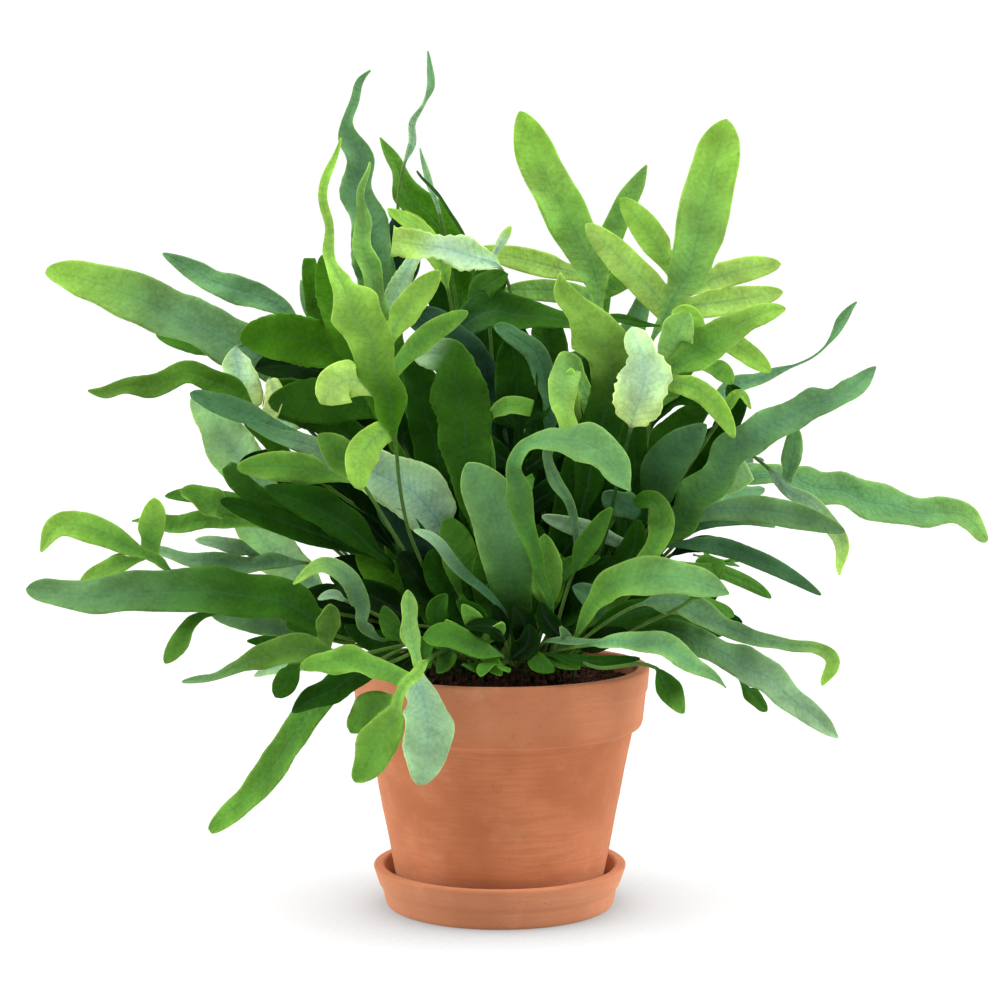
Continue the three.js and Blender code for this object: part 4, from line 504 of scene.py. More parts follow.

# Leaves inside and behind the plant. Those in the deep, dark and ink tones fill its inside with painted
# shade.
INNER = [
    leaf((1, 7), "ink", [2.4, 22, 30, 26, 1], (498, 520, 10), (492, 440, 0), (474, 372, -8),
         (440, 330, -12), (404, 312, -12)),
    leaf((1, 10), "haze", [2.4, 14, 20, 1], (522, 440, -8), (520, 395, -12), (520, 362, -14),
         (530, 338, -12)),
    leaf((1, 11), "teal", [2.4, 14, 16, 13, 1], (550, 450, -16), (550, 400, -22), (538, 360, -26),
         (512, 334, -28), (494, 327, -28)),
    leaf((1, 9), "bright", [2.4, 4, 14, 12], (494, 470, -58), (490, 420, -66), (508, 405, -72),
         (532, 410, -74)),
    leaf((1, 12), "fresh", [2.4, 12, 18, 20, 13, 1], (592, 440, -36), (584, 395, -50), (572, 368, -64),
         (562, 385, -84), (566, 420, -96), (571, 450, -98), tip="lime", crimp=2.2, ruffle=2.2),
    leaf((1, 12), "dark", [2.4, 30, 34, 22, 1], (580, 600, 6), (590, 520, 8), (594, 450, 6),
         (592, 395, 2), (590, 350, 0), face=(0, -1, 0.1)),
    leaf((2, 13), "dark", [2.4, 26, 30, 24, 1], (600, 600, 36), (620, 520, 34), (630, 460, 30),
         (634, 410, 26), (630, 380, 24)),
    leaf((1, 13), "dark", [2.4, 16, 21, 18, 4], (612, 590, -14), (626, 520, -22), (634, 470, -28),
         (634, 432, -30), (630, 415, -30), face=(0, -1, 0)),
    leaf((1, 15), "leaf", [2.4, 16, 24, 20, 1], (606, 560, 4), (640, 490, -4), (662, 446, -8),
         (690, 418, -10), (712, 402, -12)),
    leaf((2, 15), "teal", [2.4, 12, 16, 8, 1], (622, 560, 16), (658, 484, 12), (680, 452, 10),
         (700, 432, 8), (707, 428, 8)),
    leaf((0, 14), "mid", 15, (572, 575, -56), (590, 540, -66), (612, 508, -70)),
    leaf((0, 15), "dark", 19, (612, 575, -40), (632, 550, -48), (640, 520, -50)),
    leaf((0, 15), "bright", [2.4, 13, 18, 15, 4], (625, 580, -66), (652, 550, -72), (662, 522, -74),
         (652, 502, -74), (634, 503, -74), tip="dark"),
    leaf((0, 11), "leaf", 14, (548, 600, -44), (562, 572, -52), (600, 556, -56)),
    leaf((0, 12), "teal", 18, (592, 620, -56), (592, 598, -66), (572, 588, -72)),
    leaf((0, 14), "dark", [2.4, 15, 18, 15, 1], (585, 640, -60), (612, 622, -74), (642, 610, -82),
         (668, 602, -86), (698, 606, -88), face=(0, -1, 0.8)),
    leaf((0, 15), "leaf", [2.4, 12, 16, 15, 1], (590, 645, -52), (620, 634, -60), (652, 622, -66),
         (700, 620, -70), (742, 640, -72), face=(0, -1, 0.8)),
    leaf((1, 16), "mid", [2.4, 14, 18, 1], (640, 612, -46), (670, 602, -54), (700, 604, -58),
         (734, 617, -60), face=(0, -1, 0.7), crimp=2.0),
    leaf((1, 3), "leaf", [2.4, 24, 34, 14], (385, 470, -2), (345, 432, -8), (305, 405, -14),
         (264, 397, -16), face=(0, -1, 0.3)),
    leaf((1, 3), "butter", [9, 14, 12, 1], (270, 378, -22), (275, 393, -26), (272, 408, -28),
         (261, 426, -28), stalk=[(400, 520, -10), (300, 420, -14)], face=(0, -1, 0)),
    leaf((2, 2), "deep", [2.4, 26, 28, 1], (405, 450, 24), (345, 385, 22), (295, 366, 20),
         (255, 368, 18)),
    leaf((2, 1), "mint", [5, 21, 27, 8], (238, 346, 26), (237, 366, 22), (243, 386, 18), (258, 407, 16),
         stalk=[(430, 560, 46), (330, 440, 42), (262, 350, 34)], face=(0, -1, 0.1), tip="butter"),
    leaf((2, 0), "pale", [2.4, 26, 36, 28, 4], (320, 530, 56), (266, 492, 54), (232, 450, 52),
         (212, 416, 50), (193, 394, 48)),
    leaf((1, 2), "leaf", [2.4, 14, 15, 8], (300, 520, -6), (264, 500, -10), (240, 482, -12),
         (226, 466, -12), tip="mid"),
    leaf((2, 9), "dark", [2.4, 20, 24, 1], (500, 420, 56), (492, 375, 58), (486, 335, 58),
         (478, 300, 58)),
    leaf((2, 11), "leaf", [2.4, 22, 26, 20], (560, 430, 50), (554, 385, 52), (550, 350, 52),
         (546, 325, 52)),
    leaf((2, 7), "dark", [2.4, 15, 16, 1], (448, 350, 60), (442, 320, 60), (438, 296, 60),
         (436, 272, 60)),
    leaf((2, 4), "deep", [2.4, 26, 32, 1], (405, 510, 58), (378, 458, 60), (360, 426, 60),
         (345, 400, 60)),
    leaf((2, 5), "dark", [2.4, 22, 26, 20, 1], (425, 520, 50), (414, 470, 52), (405, 440, 52),
         (396, 400, 52), (388, 372, 52)),
    leaf((2, 3), "grass", [2.4, 14, 14, 8], (335, 360, 108), (320, 320, 110), (311, 285, 110),
         (311, 258, 110)),
    leaf((1, 4), "bright", 22, (360, 480, -56), (340, 455, -60), (318, 434, -60)),
    leaf((1, 5), "deep", [2.4, 30, 34, 26, 1], (470, 600, 0), (430, 550, -10), (390, 505, -20),
         (350, 478, -28), (300, 470, -34)),
    leaf((1, 6), "ink", 26, (455, 615, -16), (430, 570, -26), (404, 530, -32), (376, 502, -36)),
    leaf((0, 8), "teal", [2.4, 6, 8, 8, 1], (506, 615, -64), (482, 590, -88), (458, 568, -98),
         (440, 545, -104), (414, 530, -106), tip="haze", ruffle=1.6),
    leaf((2, 0), "deep", [2.4, 22, 26, 1], (400, 560, 20), (340, 500, 16), (290, 470, 12),
         (240, 462, 10)),
    leaf((2, 0), "pale", [2.4, 24, 34, 26, 1], (330, 595, 40), (298, 572, 40), (270, 548, 38),
         (247, 518, 36), (236, 500, 36)),
    leaf((1, 0), "grey", [2.4, 14, 16, 1], (330, 640, -20), (290, 632, -26), (250, 622, -30),
         (212, 616, -32)),
    leaf((1, 0), "leaf", 12, (330, 650, -14), (290, 645, -18), (247, 641, -20)),
    leaf((0, 1), "pale", 12, (330, 660, -60), (290, 665, -66), (254, 676, -68)),
    leaf((0, 4), "haze", 8, (345, 600, -70), (332, 596, -76), (318, 600, -78)),
    leaf((1, 5), "deep", 24, (450, 625, -20), (410, 600, -30), (370, 572, -36), (330, 560, -40)),
    leaf((0, 3), "deep", 22, (430, 640, -40), (395, 610, -50), (360, 592, -56), (330, 590, -58)),
    leaf((1, 6), "dark", [2.4, 28, 32, 26, 4], (470, 600, 0), (452, 520, -6), (436, 450, -10),
         (424, 400, -12), (414, 352, -12)),
    leaf((2, 10), "dark", [2.4, 22, 26, 20, 1], (545, 520, 60), (538, 440, 64), (524, 370, 66),
         (506, 318, 66), (494, 290, 66)),
    leaf((1, 8), "deep", 26, (495, 600, 2), (505, 520, 0), (508, 450, -2), (500, 400, -2)),
    leaf((1, 10), "deep", 30, (535, 600, 0), (545, 530, 0), (556, 470, 0), (560, 420, 0)),
    leaf((1, 11), "dark", 26, (560, 600, -20), (566, 540, -26), (572, 490, -30), (566, 455, -32)),
    leaf((1, 11), "grey", [2.4, 6, 9, 7, 1], (575, 560, -40), (570, 505, -48), (556, 480, -52),
         (546, 455, -54), (552, 440, -54)),
    leaf((1, 14), "deep", 28, (600, 610, 0), (632, 560, 0), (660, 510, 0), (680, 470, 0)),
    leaf((2, 14), "deep", 28, (590, 600, 50), (640, 520, 60), (690, 460, 66), (730, 420, 70)),
    leaf((2, 16), "dark", [2.4, 18, 20, 16, 1], (640, 560, 30), (690, 490, 20), (722, 440, 12),
         (735, 405, 8), (728, 384, 6)),
    leaf((1, 15), "dark", [2.4, 16, 16, 1], (650, 430, -6), (668, 400, -14), (690, 396, -18),
         (712, 404, -20)),
    leaf((2, 6), "lime", 17, (448, 290, 52), (428, 240, 50), (408, 222, 48), (388, 208, 46)),
    leaf((2, 7), "haze", [2.4, 5, 1], (440, 215, 104), (428, 180, 106), (421, 148, 106),
         stalk=[(470, 400, 96)], point=1.2),
    leaf((2, 8), "leaf", [2, 2.6, 1], (464, 236, 96), (440, 200, 98), (418, 170, 98),
         stalk=[(490, 400, 90)]),
    leaf((2, 9), "mid", [4, 20, 26, 18], (490, 330, 36), (488, 305, 34), (488, 285, 32), (490, 270, 30),
         crimp=2.5, ruffle=2.0),
    leaf((2, 12), "blue", 22, (620, 420, 70), (628, 350, 76), (640, 310, 78), (646, 286, 78)),
    leaf((1, 14), "bright", [3, 24, 30, 20, 1], (650, 420, -12), (668, 380, -16), (684, 350, -18),
         (690, 322, -18), (672, 312, -18), stalk=[(620, 500, -6)], tip="lime"),
    leaf((1, 16), "lime", 8, (720, 420, 0), (740, 395, -4), (752, 408, -6)),
    leaf((1, 17), "teal", [2.4, 14, 14, 13, 1], (680, 540, -10), (710, 520, -14), (745, 516, -16),
         (776, 519, -18), tip="blue"),
    leaf((1, 17), "deep", 14, (670, 556, -20), (700, 545, -26), (755, 560, -30)),
    leaf((0, 15), "mid", [2.4, 17, 20, 12], (690, 600, -118), (702, 582, -124), (711, 568, -126),
         (715, 557, -126)),
    leaf((1, 16), "pale", [2.4, 16, 20, 16], (690, 520, 20), (715, 490, 18), (735, 478, 16),
         (750, 470, 14)),
    leaf((2, 2), "haze", 10, (330, 340, 110), (308, 305, 112), (300, 280, 112)),
]

# Short leaves that fill the plant's foot, a fan of them on each rhizome. Depths, widths and how far they
# come forward are in mm, the other lengths in the picture's pixels.
THICKET = {
    "count": 17, "depths": (-30, 14, 54), "feet": (508, 646), "spread": 74, "lean": 80, "length": 115,
    "longer": 48, "uneven": 20, "uneven_steps": (2.4, 2), "droop": 0.14, "forward": 12,
    "shares": (0.1, 0.4, 0.7, 1.0), "widths": [2.4, 21, 25, 3], "face": 0.3, "face_lean": 0.4,
    # The deep and dark tones among these paint the shade round the plant's foot.
    "tones": ("leaf", "deep", "dark", "grass", "deep", "dark", "mid"), "tone_step": 3,
}


def thicket():
    """Rows for the short leaves, upright in the middle and leaning out at the sides."""
    rows = []
    count, (column, row) = THICKET["count"], THICKET["feet"]
    across, behind = THICKET["uneven_steps"]
    for rhizome, depth in enumerate(THICKET["depths"]):
        for k in range(count):
            lean = 2 * (k + 0.5) / count - 1
            turn = math.radians(THICKET["lean"]) * lean
            length = THICKET["length"] + THICKET["longer"] * lean ** 2
            length += THICKET["uneven"] * math.sin(across * k + behind * rhizome)
            blade = []
            for share in THICKET["shares"]:
                fall = THICKET["droop"] * (share * lean) ** 2
                blade.append((column + THICKET["spread"] * lean + share * length * math.sin(turn),
                              row + share * length * (fall - math.cos(turn)),
                              depth - THICKET["forward"] * share))
            root = (rhizome, int(RHIZOME["feet"] * (lean + 1) / 2))
            tone = THICKET["tones"][(k + THICKET["tone_step"] * rhizome) % len(THICKET["tones"])]
            rows.append(leaf(root, tone, THICKET["widths"], *blade,
                             face=(0, -1, THICKET["face"] + THICKET["face_lean"] * abs(lean))))
    return rows


# Veins, in mm: side veins leave the midrib at a slant, with a net of small ones between. They fade along
# the blade and towards its edge.
VEIN = {
    "spacing": 5.0, "slant": 0.6, "width": 1.0, "bend": 3.0, "bend_scale": 90.0, "rib_width": 1.5,
    "rib_core": 0.15, "net": 3.2, "net_width": 0.12, "net_share": 0.45, "fade": 0.25,
    "edge_from": 0.3, "edge_to": 0.9, "edge_fade": 0.25,
}

# The leaves' colours are factors. Here and for the clay, a noise is (scale per metre, detail, roughness), a
# range is what a noise is stretched from, and depths are in metres. The clay's bumps are (depth, strength).
LEAF = {
    "vein": (0.8, 0.85, 0.86), "rib": (0.78, 0.84, 0.9), "rib_light": (0.02, 0.032, 0.024),
    "rim": (1.35, 1.25, 1.1), "rim_from": 0.92, "mottle": 0.34, "mottle_noise": (38.0, 4.0, 0.6),
    "grain": 0.42, "grain_noise": (420.0, 2.0), "range": (0.3, 0.7), "vein_relief": -0.5,
    "bump_depth": 0.0004, "bump": 0.5, "crinkle_noise": (85.0, 2.0), "crinkle_depth": 0.004, "crinkle": 0.8,
    "rough_scale": 60.0, "gloss": 0.05, "through": (1.0, 1.0, 0.4), "through_share": 0.36,
}
LEAF_FACES = {
    "leaf": {"tint": None, "rib_relief": -1.0, "rough": (0.4, 0.54)},
    "leaf_under": {"tint": (1.25, 1.1, 1.5), "rib_relief": 1.0, "rough": (0.5, 0.66)},
}
CLAY = {
    "deep": (164, 95, 58), "light": (192, 118, 78), "broad_noise": (16.0, 3.0, 0.55),
    "broad_range": (0.3, 0.72), "line": (164, 94, 60), "line_noise": (34.0, 4.0, 0.6),
    "line_range": (0.38, 0.62), "line_share": 0.4, "line_flatness": 14, "bloom": (204, 146, 112),
    "bloom_noise": (24.0, 6.0, 0.66), "bloom_range": (0.52, 0.8), "bloom_share": 0.4,
    "speck": (124, 72, 48), "speck_noise": (520.0, 1.0, 0.5), "speck_range": (0.68, 0.74),
    "speck_share": 0.35, "grain_noise": (900.0, 2.0, 0.6), "line_bump": (0.0012, 0.25),
    "grain_bump": (0.0004, 0.35), "rough": (0.92, 0.8), "gloss": 0.25, "dust": 0.8, "dust_rough": 0.5,
}

# How much paler the clay is at the pot's rim band and the saucer: two heights in metres and the shares
# there.
PALER = {"band": (0.122, 0.14, 0.0, 0.22), "saucer": (0.024, 0.034, 0.3, 0.0)}

# A grainy stuff: noises at its own scale and finer, as (detail, roughness), what they are stretched from,
# and its bumps' depth in metres.
GRAINY = {
    "clump_noise": (4.0, 0.65), "clump_range": (0.35, 0.6), "finer": 6, "grain_noise": (3.0, 0.6),
    "grain_range": (0.55, 0.8), "depth": 0.002, "rough_range": (0.2, 0.8), "rough": (1.0, 0.85), "gloss": 0.2,
}

# Turned clay in mm: the rounding of its corners, its mesh, and how a hand's wobble and the throwing rings
# vary round it and up it. Within axis of its middle nothing varies.
TURNED = {
    "corner": 2.6, "corner_steps": 4, "spacing": 2.2, "sides": 144, "wobble": 0.5, "wobble_round": 1.3,
    "wobble_up": 30, "ring": 0.16, "ring_round": 0.3, "ring_up": 1.7, "axis": 1, "merge": 1e-5,
}

# The soil: its colours, grains and mesh in mm, and its lumps as a fractal noise (fall-off, finer, octaves).
EARTH = {
    "colours": ((34, 20, 13), (80, 48, 32), (146, 98, 68)), "scale": 120.0, "bump": 0.8, "rings": 56,
    "floor_rings": (0.0, 0.5, 1.0), "sides": 150, "lump": 1.6, "lump_size": 5.0,
    "lump_fractal": (1.0, 2.0, 4),
}

# Crumbs of the soil, in mm, and the low heap of them behind the pot's front lip.
CRUMBS = {
    "count": 2600, "seed": 5, "margin": 1.5, "size": (0.5, 1.9), "flat": (0.6, 1.0), "corner": (0.55, 1),
    "rise": 0.3, "heap": 7.5, "heap_line": -46, "heap_reach": 13,
}

# The rhizomes: their colours, grains and mesh in mm, and the ranges that each scale on them is drawn from.
SCALES = {
    "colours": ((40, 24, 13), (78, 50, 28), (128, 92, 56)), "scale": 300.0, "bump": 0.5, "rings": 40,
    "sides": 24, "swell": 0.07, "swell_size": 7, "count": 700, "seed": 11, "ends": (0.03, 0.97),
    "below": 0.4, "lean": (0.15, 0.9), "half_width": (0.2, 0.38), "sink": 0.97, "length": (2.2, 4.6),
    "arch": 0.3, "middle": 0.5, "taper": 0.8,
}

# The floor with its contact shade, in metres, and the light from all round and from two sides.
STAGE = {
    "floor": 40.0, "floor_shade": 0.2, "floor_rough": 0.9, "floor_glow": 0.82, "floor_contact": 0.5,
    "contact_reach": 0.18, "contact_samples": 8, "contact_range": (0.35, 0.95), "sky": 1.05, "front": 0.42,
    "front_from": -0.95, "front_to": -0.35, "softness": 50,
    "lights": {
        "left": ((-1.8, -0.3, 1.4), 2.7),
        "right": ((1.8, -0.2, 1.4), 2.6),
    },
}


def seen(point):
    """The point in mm that a picture point with a depth stands for."""
    across, down, depth = point
    right = (across - VIEW["middle"]) / VIEW["focal"]
    rise = (VIEW["middle"] - down) / VIEW["focal"]
    tilt = math.radians(VIEW["tilt"])
    ahead = math.cos(tilt) + rise * math.sin(tilt)
    lift = rise * math.cos(tilt) - math.sin(tilt)
    reach = (depth + VIEW["distance"]) / ahead
    return np.array([right * reach, depth, VIEW["height"] + lift * reach])


def smooth(share):
    inside = np.clip(share, 0, 1)
    return inside * inside * (3 - 2 * inside)


def mix(a, b, share):
    return a + (b - a) * share


def unit(vectors):
    return vectors / np.maximum(np.linalg.norm(vectors, axis=-1, keepdims=True), TINY)


def arc(start, bend, end, share):
    """Points at shares of the curve from start to end that is drawn towards bend on its way."""
    return (1 - share) ** 2 * start + 2 * share * (1 - share) * bend + share ** 2 * end


def arc_way(start, bend, end, share):
    """That curve's directions."""
    return unit((1 - share) * (bend - start) + share * (end - bend))


def linear(colour):
    """A colour from sRGB bytes to linear light, by the sRGB standard's own curve."""
    share = np.array(colour, float) / 255
    return np.where(share <= 0.04045, share / 12.92, ((share + 0.055) / 1.055) ** 2.4)


class Sheet:
    """A thin surface in the making: points with half thicknesses and tones, and quads with two maps.
    The veins map holds the distance across and along a blade in mm, the form map the same as shares."""

    def __init__(self):
        self.points, self.halves, self.tones = [], [], []
        self.quads, self.veins, self.forms = [], [], []
        self.count = 0

    def add(self, points, halves, tones):
        """Adds a grid of points and returns their numbers in the same grid."""
        shape = points.shape[:-1]
        self.points.append(points.reshape(-1, 3))
        self.halves.append(np.broadcast_to(halves, shape).reshape(-1))
        self.tones.append(np.broadcast_to(tones, points.shape).reshape(-1, 3))
        numbers = self.count + np.arange(math.prod(shape)).reshape(shape)
        self.count += math.prod(shape)
        return numbers

    def fill(self, grid, veins, forms, flipped=False):
        """Quads between the rows and columns of a grid of point numbers."""
        near, far, whole = slice(None, -1), slice(1, None), slice(None)
        corners = [(near, near), (near, far), (far, far), (far, near)]
        if flipped:
            corners.reverse()
        self.quads.append(np.stack([grid[c] for c in corners], -1).reshape(-1, 4))
        for kept, values in ((self.veins, veins), (self.forms, forms)):
            kept.append(np.stack([values[c + (whole,)] for c in corners], -2).reshape(-1, 4, 2))


def point_normals(points, quads):
    """The mean of the normals of the quads round each point, larger quads counting more."""
    a, b, c, d = (points[quads[:, k]] for k in range(4))
    faces = np.cross(c - a, d - b)
    normals = np.zeros_like(points)
    for k in range(4):
        np.add.at(normals, quads[:, k], faces)
    return unit(normals)


def free_edges(quads, count):
    """The quads and corners whose edge to the next corner has no quad on its other side."""
    first = quads.reshape(-1)
    second = np.roll(quads, -1, axis=1).reshape(-1)
    found = ~np.isin(first * count + second, second * count + first)
    return np.nonzero(found.reshape(-1, 4))


def placed(name, data):
    """A new object of the scene, for a mesh, a lamp or a camera."""
    made = bpy.data.objects.new(name, data)
    bpy.context.scene.collection.objects.link(made)
    return made


def make_mesh(name, points, quads, maps=None, tones=None, slots=None, materials=()):
    """A smooth mesh object from points in mm and quads, riding on the plant."""
    mesh = bpy.data.meshes.new(name)
    mesh.vertices.add(len(points))
    mesh.vertices.foreach_set("co", (points * MM).astype(np.float32).ravel())
    mesh.loops.add(quads.size)
    mesh.loops.foreach_set("vertex_index", quads.astype(np.int32).ravel())
    mesh.polygons.add(len(quads))
    mesh.polygons.foreach_set("loop_start", np.arange(0, quads.size, quads.shape[1], dtype=np.int32))
    mesh.polygons.foreach_set("use_smooth", np.ones(len(quads), bool))
    if slots is not None:
        mesh.polygons.foreach_set("material_index", slots.astype(np.int32))
    for key, values in (maps or {}).items():
        mesh.uv_layers.new(name=key).data.foreach_set("uv", values.astype(np.float32).ravel())
    if tones is not None:
        kept = mesh.attributes.new("tone", "FLOAT_VECTOR", "POINT")
        kept.data.foreach_set("vector", tones.astype(np.float32).ravel())
    for material in materials:
        mesh.materials.append(material)
    mesh.update(calc_edges=True)
    mesh.validate()
    piece = placed(name, mesh)
    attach(piece, "root")
    return piece


def thickened(name, sheet, materials):
    """The closed mesh of a sheet: upper and lower faces along the point normals, and the rim between."""
    points, halves, tones = (np.concatenate(kept) for kept in (sheet.points, sheet.halves, sheet.tones))
    quads, veins, forms = (np.concatenate(kept) for kept in (sheet.quads, sheet.veins, sheet.forms))
    offset = point_normals(points, quads) * halves[:, None]
    count = len(points)
    face, corner = free_edges(quads, count)
    after = (corner + 1) % 4
    a, b = quads[face, corner], quads[face, after]
    rim = np.stack([b, a, a + count, b + count], 1)
    shapes = [quads, quads[:, ::-1] + count, rim]
    maps = {}
    for key, kept in (("veins", veins), ("form", forms)):
        near, far = kept[face, corner], kept[face, after]
        maps[key] = np.concatenate([kept, kept[:, ::-1], np.stack([far, near, near, far], 1)])
    slots = np.concatenate([np.full(len(part), k) for part, k in zip(shapes, (0, 1, 0))])
    return make_mesh(name, np.concatenate([points + offset, points - offset]), np.concatenate(shapes), maps,
                     np.concatenate([tones, tones]), slots, materials)


class Spine:
    """A frond's centre line through its points, a centripetal Catmull-Rom curve, with its frames."""

    def __init__(self, points, stalk_count, face):
        self.knots = np.vstack([2 * points[0] - points[1], points, 2 * points[-1] - points[-2]])
        self.spans = len(points) - 1
        self.face = unit(np.array(face, float))
        self.turns = np.linspace(0, 1, LINE["divisions"] + 1)
        steps = np.linalg.norm(np.diff(self.at(self.turns), axis=0), axis=1)
        self.lengths = np.concatenate([[0], np.cumsum(steps)])
        self.total = self.lengths[-1]
        places = np.interp(np.arange(len(points)) / self.spans, self.turns, self.lengths) / self.total
        self.blade_start = places[stalk_count]
        self.blade_length = self.total * (1 - self.blade_start)
        self.knot_places = (places[stalk_count:] - self.blade_start) / (1 - self.blade_start)

    def at(self, turns):
        """Points at curve parameters from 0 to 1."""
        spots = np.clip(turns, 0, 1) * self.spans
        span = np.minimum(spots.astype(int), self.spans - 1)
        w = (spots - span)[:, None]
        x0, x1, x2, x3 = (self.knots[span + k] for k in range(4))
        ends = ((x0, x1), (x1, x2), (x2, x3))
        d0, d1, d2 = (np.linalg.norm(b - a, axis=1)[:, None] ** 0.5 for a, b in ends)
        t1 = ((x1 - x0) / d0 - (x2 - x0) / (d0 + d1) + (x2 - x1) / d1) * d1
        t2 = ((x2 - x1) / d1 - (x3 - x1) / (d1 + d2) + (x3 - x2) / d2) * d1
        return x1 + w * (t1 + w * (3 * (x2 - x1) - 2 * t1 - t2 + w * (2 * (x1 - x2) + t1 + t2)))

    def frames(self, places):
        """Centres, ways, sides and ups at shares of the whole length."""
        turns = np.interp(np.atleast_1d(places) * self.total, self.lengths, self.turns)
        way = unit(self.at(turns + LINE["step"]) - self.at(turns - LINE["step"]))
        side = unit(np.cross(way, self.face))
        return self.at(turns), way, side, np.cross(side, way)


def rhizome_at(name, place):
    """A rhizome's centre, direction and radius at a place from 0 to 1 along it."""
    line = [np.array(point, float) for point in RHIZOMES[name]]
    fullness = 1 - abs(2 * place - 1) ** RHIZOME["blunt"]
    radius = RHIZOME["radius"] * math.sqrt(max(RHIZOME["end_share"], fullness))
    centre = np.array([*arc(*line, place), SOIL["level"] + RHIZOME["rise"]])
    return centre, np.array([*arc_way(*line, place), 0]), radius


def foot_on(rhizome, foot):
    """Where a frond's foot stands on a rhizome, and the direction in which it leaves."""
    centre, way, radius = rhizome_at(list(RHIZOMES)[rhizome], (foot + 0.5) / RHIZOME["feet"])
    lean = math.radians(RHIZOME["lean"]) * (-1 if foot % 2 == 0 else 1)
    out = np.array([-way[1] * math.sin(lean), way[0] * math.sin(lean), math.cos(lean)])
    return centre + out * (radius + STALK["foot_gap"]), out


def spine_of(row):
    """A leaf's centre line, from its foot on a rhizome through its stalk's and its blade's points."""
    foot, out = foot_on(*row["root"])
    stalk = [foot, foot + out * STALK["spring"], *(seen(point) for point in row["stalk"])]
    blade = [seen(point) for point in row["blade"]]
    return Spine(np.array(stalk + blade), len(stalk), row["face"])


def given_width(widths, knots, place, point):
    """The blade's widths at places, through those given at its points. The last stretch rounds off, or
    narrows to a point."""
    following = np.clip(np.searchsorted(knots, place - TINY), 1, len(knots) - 1)
    along = np.clip((place - knots[following - 1]) / (knots[following] - knots[following - 1]), 0, 1)
    rounded = 1 - (1 - along ** 2) ** point
    share = np.where(following == len(knots) - 1, rounded, smooth(along))
    given = np.array(widths, float)
    return mix(given[following - 1], given[following], share)


def leaf_width(row, place):
    """The blade's widths at places: narrow as far as its last lobe, then a leaf-shaped end lobe."""
    start = PAIRS["last"] if "pairs" in row else max([0, *(lobe[0] for lobe in row["lobes"])])
    wing = 2 * LOBE["wing"] if start > 0 else 0
    share = np.clip((place - start) / (1 - start), 0, 1)
    peak = BLADE["peak"]
    grown = np.sin(math.pi / 2 * np.clip(share / peak, 0, 1)) ** BLADE["swell"]
    end = np.clip((share - peak) / (1 - peak), 0, 1)
    narrowed = np.clip(np.cos(math.pi / 2 * end), 0, 1) ** row.get("point", BLADE["narrow"])
    return np.where(share < peak, mix(wing, row["width"], grown), row["width"] * narrowed)


def half_widths(row, spine, place):
    """Half the blade's widths at places, growing out of the stalk's."""
    if isinstance(row["width"], list):
        width = given_width(row["width"], spine.knot_places, place, row.get("point", BLADE["tip_round"]))
    else:
        width = leaf_width(row, place)
    return np.maximum(LOBE["tip"], mix(STALK["half_width"], width / 2, smooth(place / BLADE["grow"])))


def lobes_of(row, spine):
    """The lobes of a leaf: the listed ones, or pairs along the blade that shorten towards its tip."""
    found = []
    for at, width, tip, *bend in row["lobes"]:
        found.append({"at": at, "width": width, "tip": seen(tip), "bend": seen(bend[0]) if bend else None})
    if "pairs" not in row:
        return found
    count, span = row["pairs"]
    forward = math.radians(PAIRS["forward"])
    for pair in range(count):
        share = pair / (count - 1)
        at = mix(PAIRS["first"], PAIRS["last"], share)
        centre, way, side, up = (line[0] for line in spine.frames(mix(spine.blade_start, 1, at)))
        length = span * (1 - PAIRS["taper"] * share ** 2)
        for hand in (-1, 1):
            out = hand * side * math.cos(forward) + way * math.sin(forward) - up * PAIRS["droop"]
            found.append({"at": at, "width": length * PAIRS["width_share"], "tip": centre + out * length,
                          "bend": None})
    return found


def ripple(rng, wavelength):
    """An uneven wave along a length in mm, as a function of the distance along, from about -1 to 1."""
    phases = rng.uniform(0, 2 * math.pi, RIPPLE["waves"])
    speeds = 2 * math.pi / wavelength * rng.uniform(*RIPPLE["spread"], RIPPLE["waves"])
    return lambda s: sum(np.sin(speed * s + phase) for speed, phase in zip(speeds, phases)) / 2


def margin(rng, row):
    """How the outline of one side of a blade varies, as a factor on its half width."""
    scallop = ripple(rng, MARGIN["scallop_length"])
    tooth = ripple(rng, MARGIN["tooth_length"])
    scallops, teeth = row["crimp"] * MARGIN["scallop"], row["teeth"] * MARGIN["tooth"]
    return lambda s: 1 + scallops * scallop(s) + teeth * tooth(s)


def varied(rng, key, distance):
    """How a property varies at distances along a blade, with its own size and length."""
    return VARY[key] * ripple(rng, VARY[key + "_length"])(distance)


def cross_rise(column, half, fold, lift, ruffle):
    """How far points of a blade stand above its middle: a soft fold, the waves and the edge's ruffles."""
    bow = np.abs(column) ** BLADE["bow_power"]
    return half * (fold * bow + lift * bow + ruffle * np.abs(column) ** BLADE["ruffle_power"])


def tone_at(row, base, tip, share, column):
    """Colours of a blade at shares of its length and columns across, in linear light, from the tones of
    its base and its tip."""
    along = smooth((share - row["start"]) / (row["full"] - row["start"]))[..., None]
    across = np.abs(column)
    rim = (row["rim"] * across ** SHADING["rim_power"])[..., None]
    core = ((1 - across) ** SHADING["core_across"] * (1 - share) ** SHADING["core_along"])[..., None]
    from_colour, to_colour = (
        mix(linear(TONES[tone]), linear(TONES[EDGES.get(tone, OTHER_EDGE)]), rim) for tone in (base, tip)
    )
    return mix(from_colour, to_colour, along) * mix(1, np.array(CORE), core)


def thickness(half, column, rib):
    """Half a blade's thickness at columns across, with a rib in its middle."""
    return mix(BLADE["edge"], rib, np.exp(-((half * column / BLADE["rib_reach"]) ** 2)))


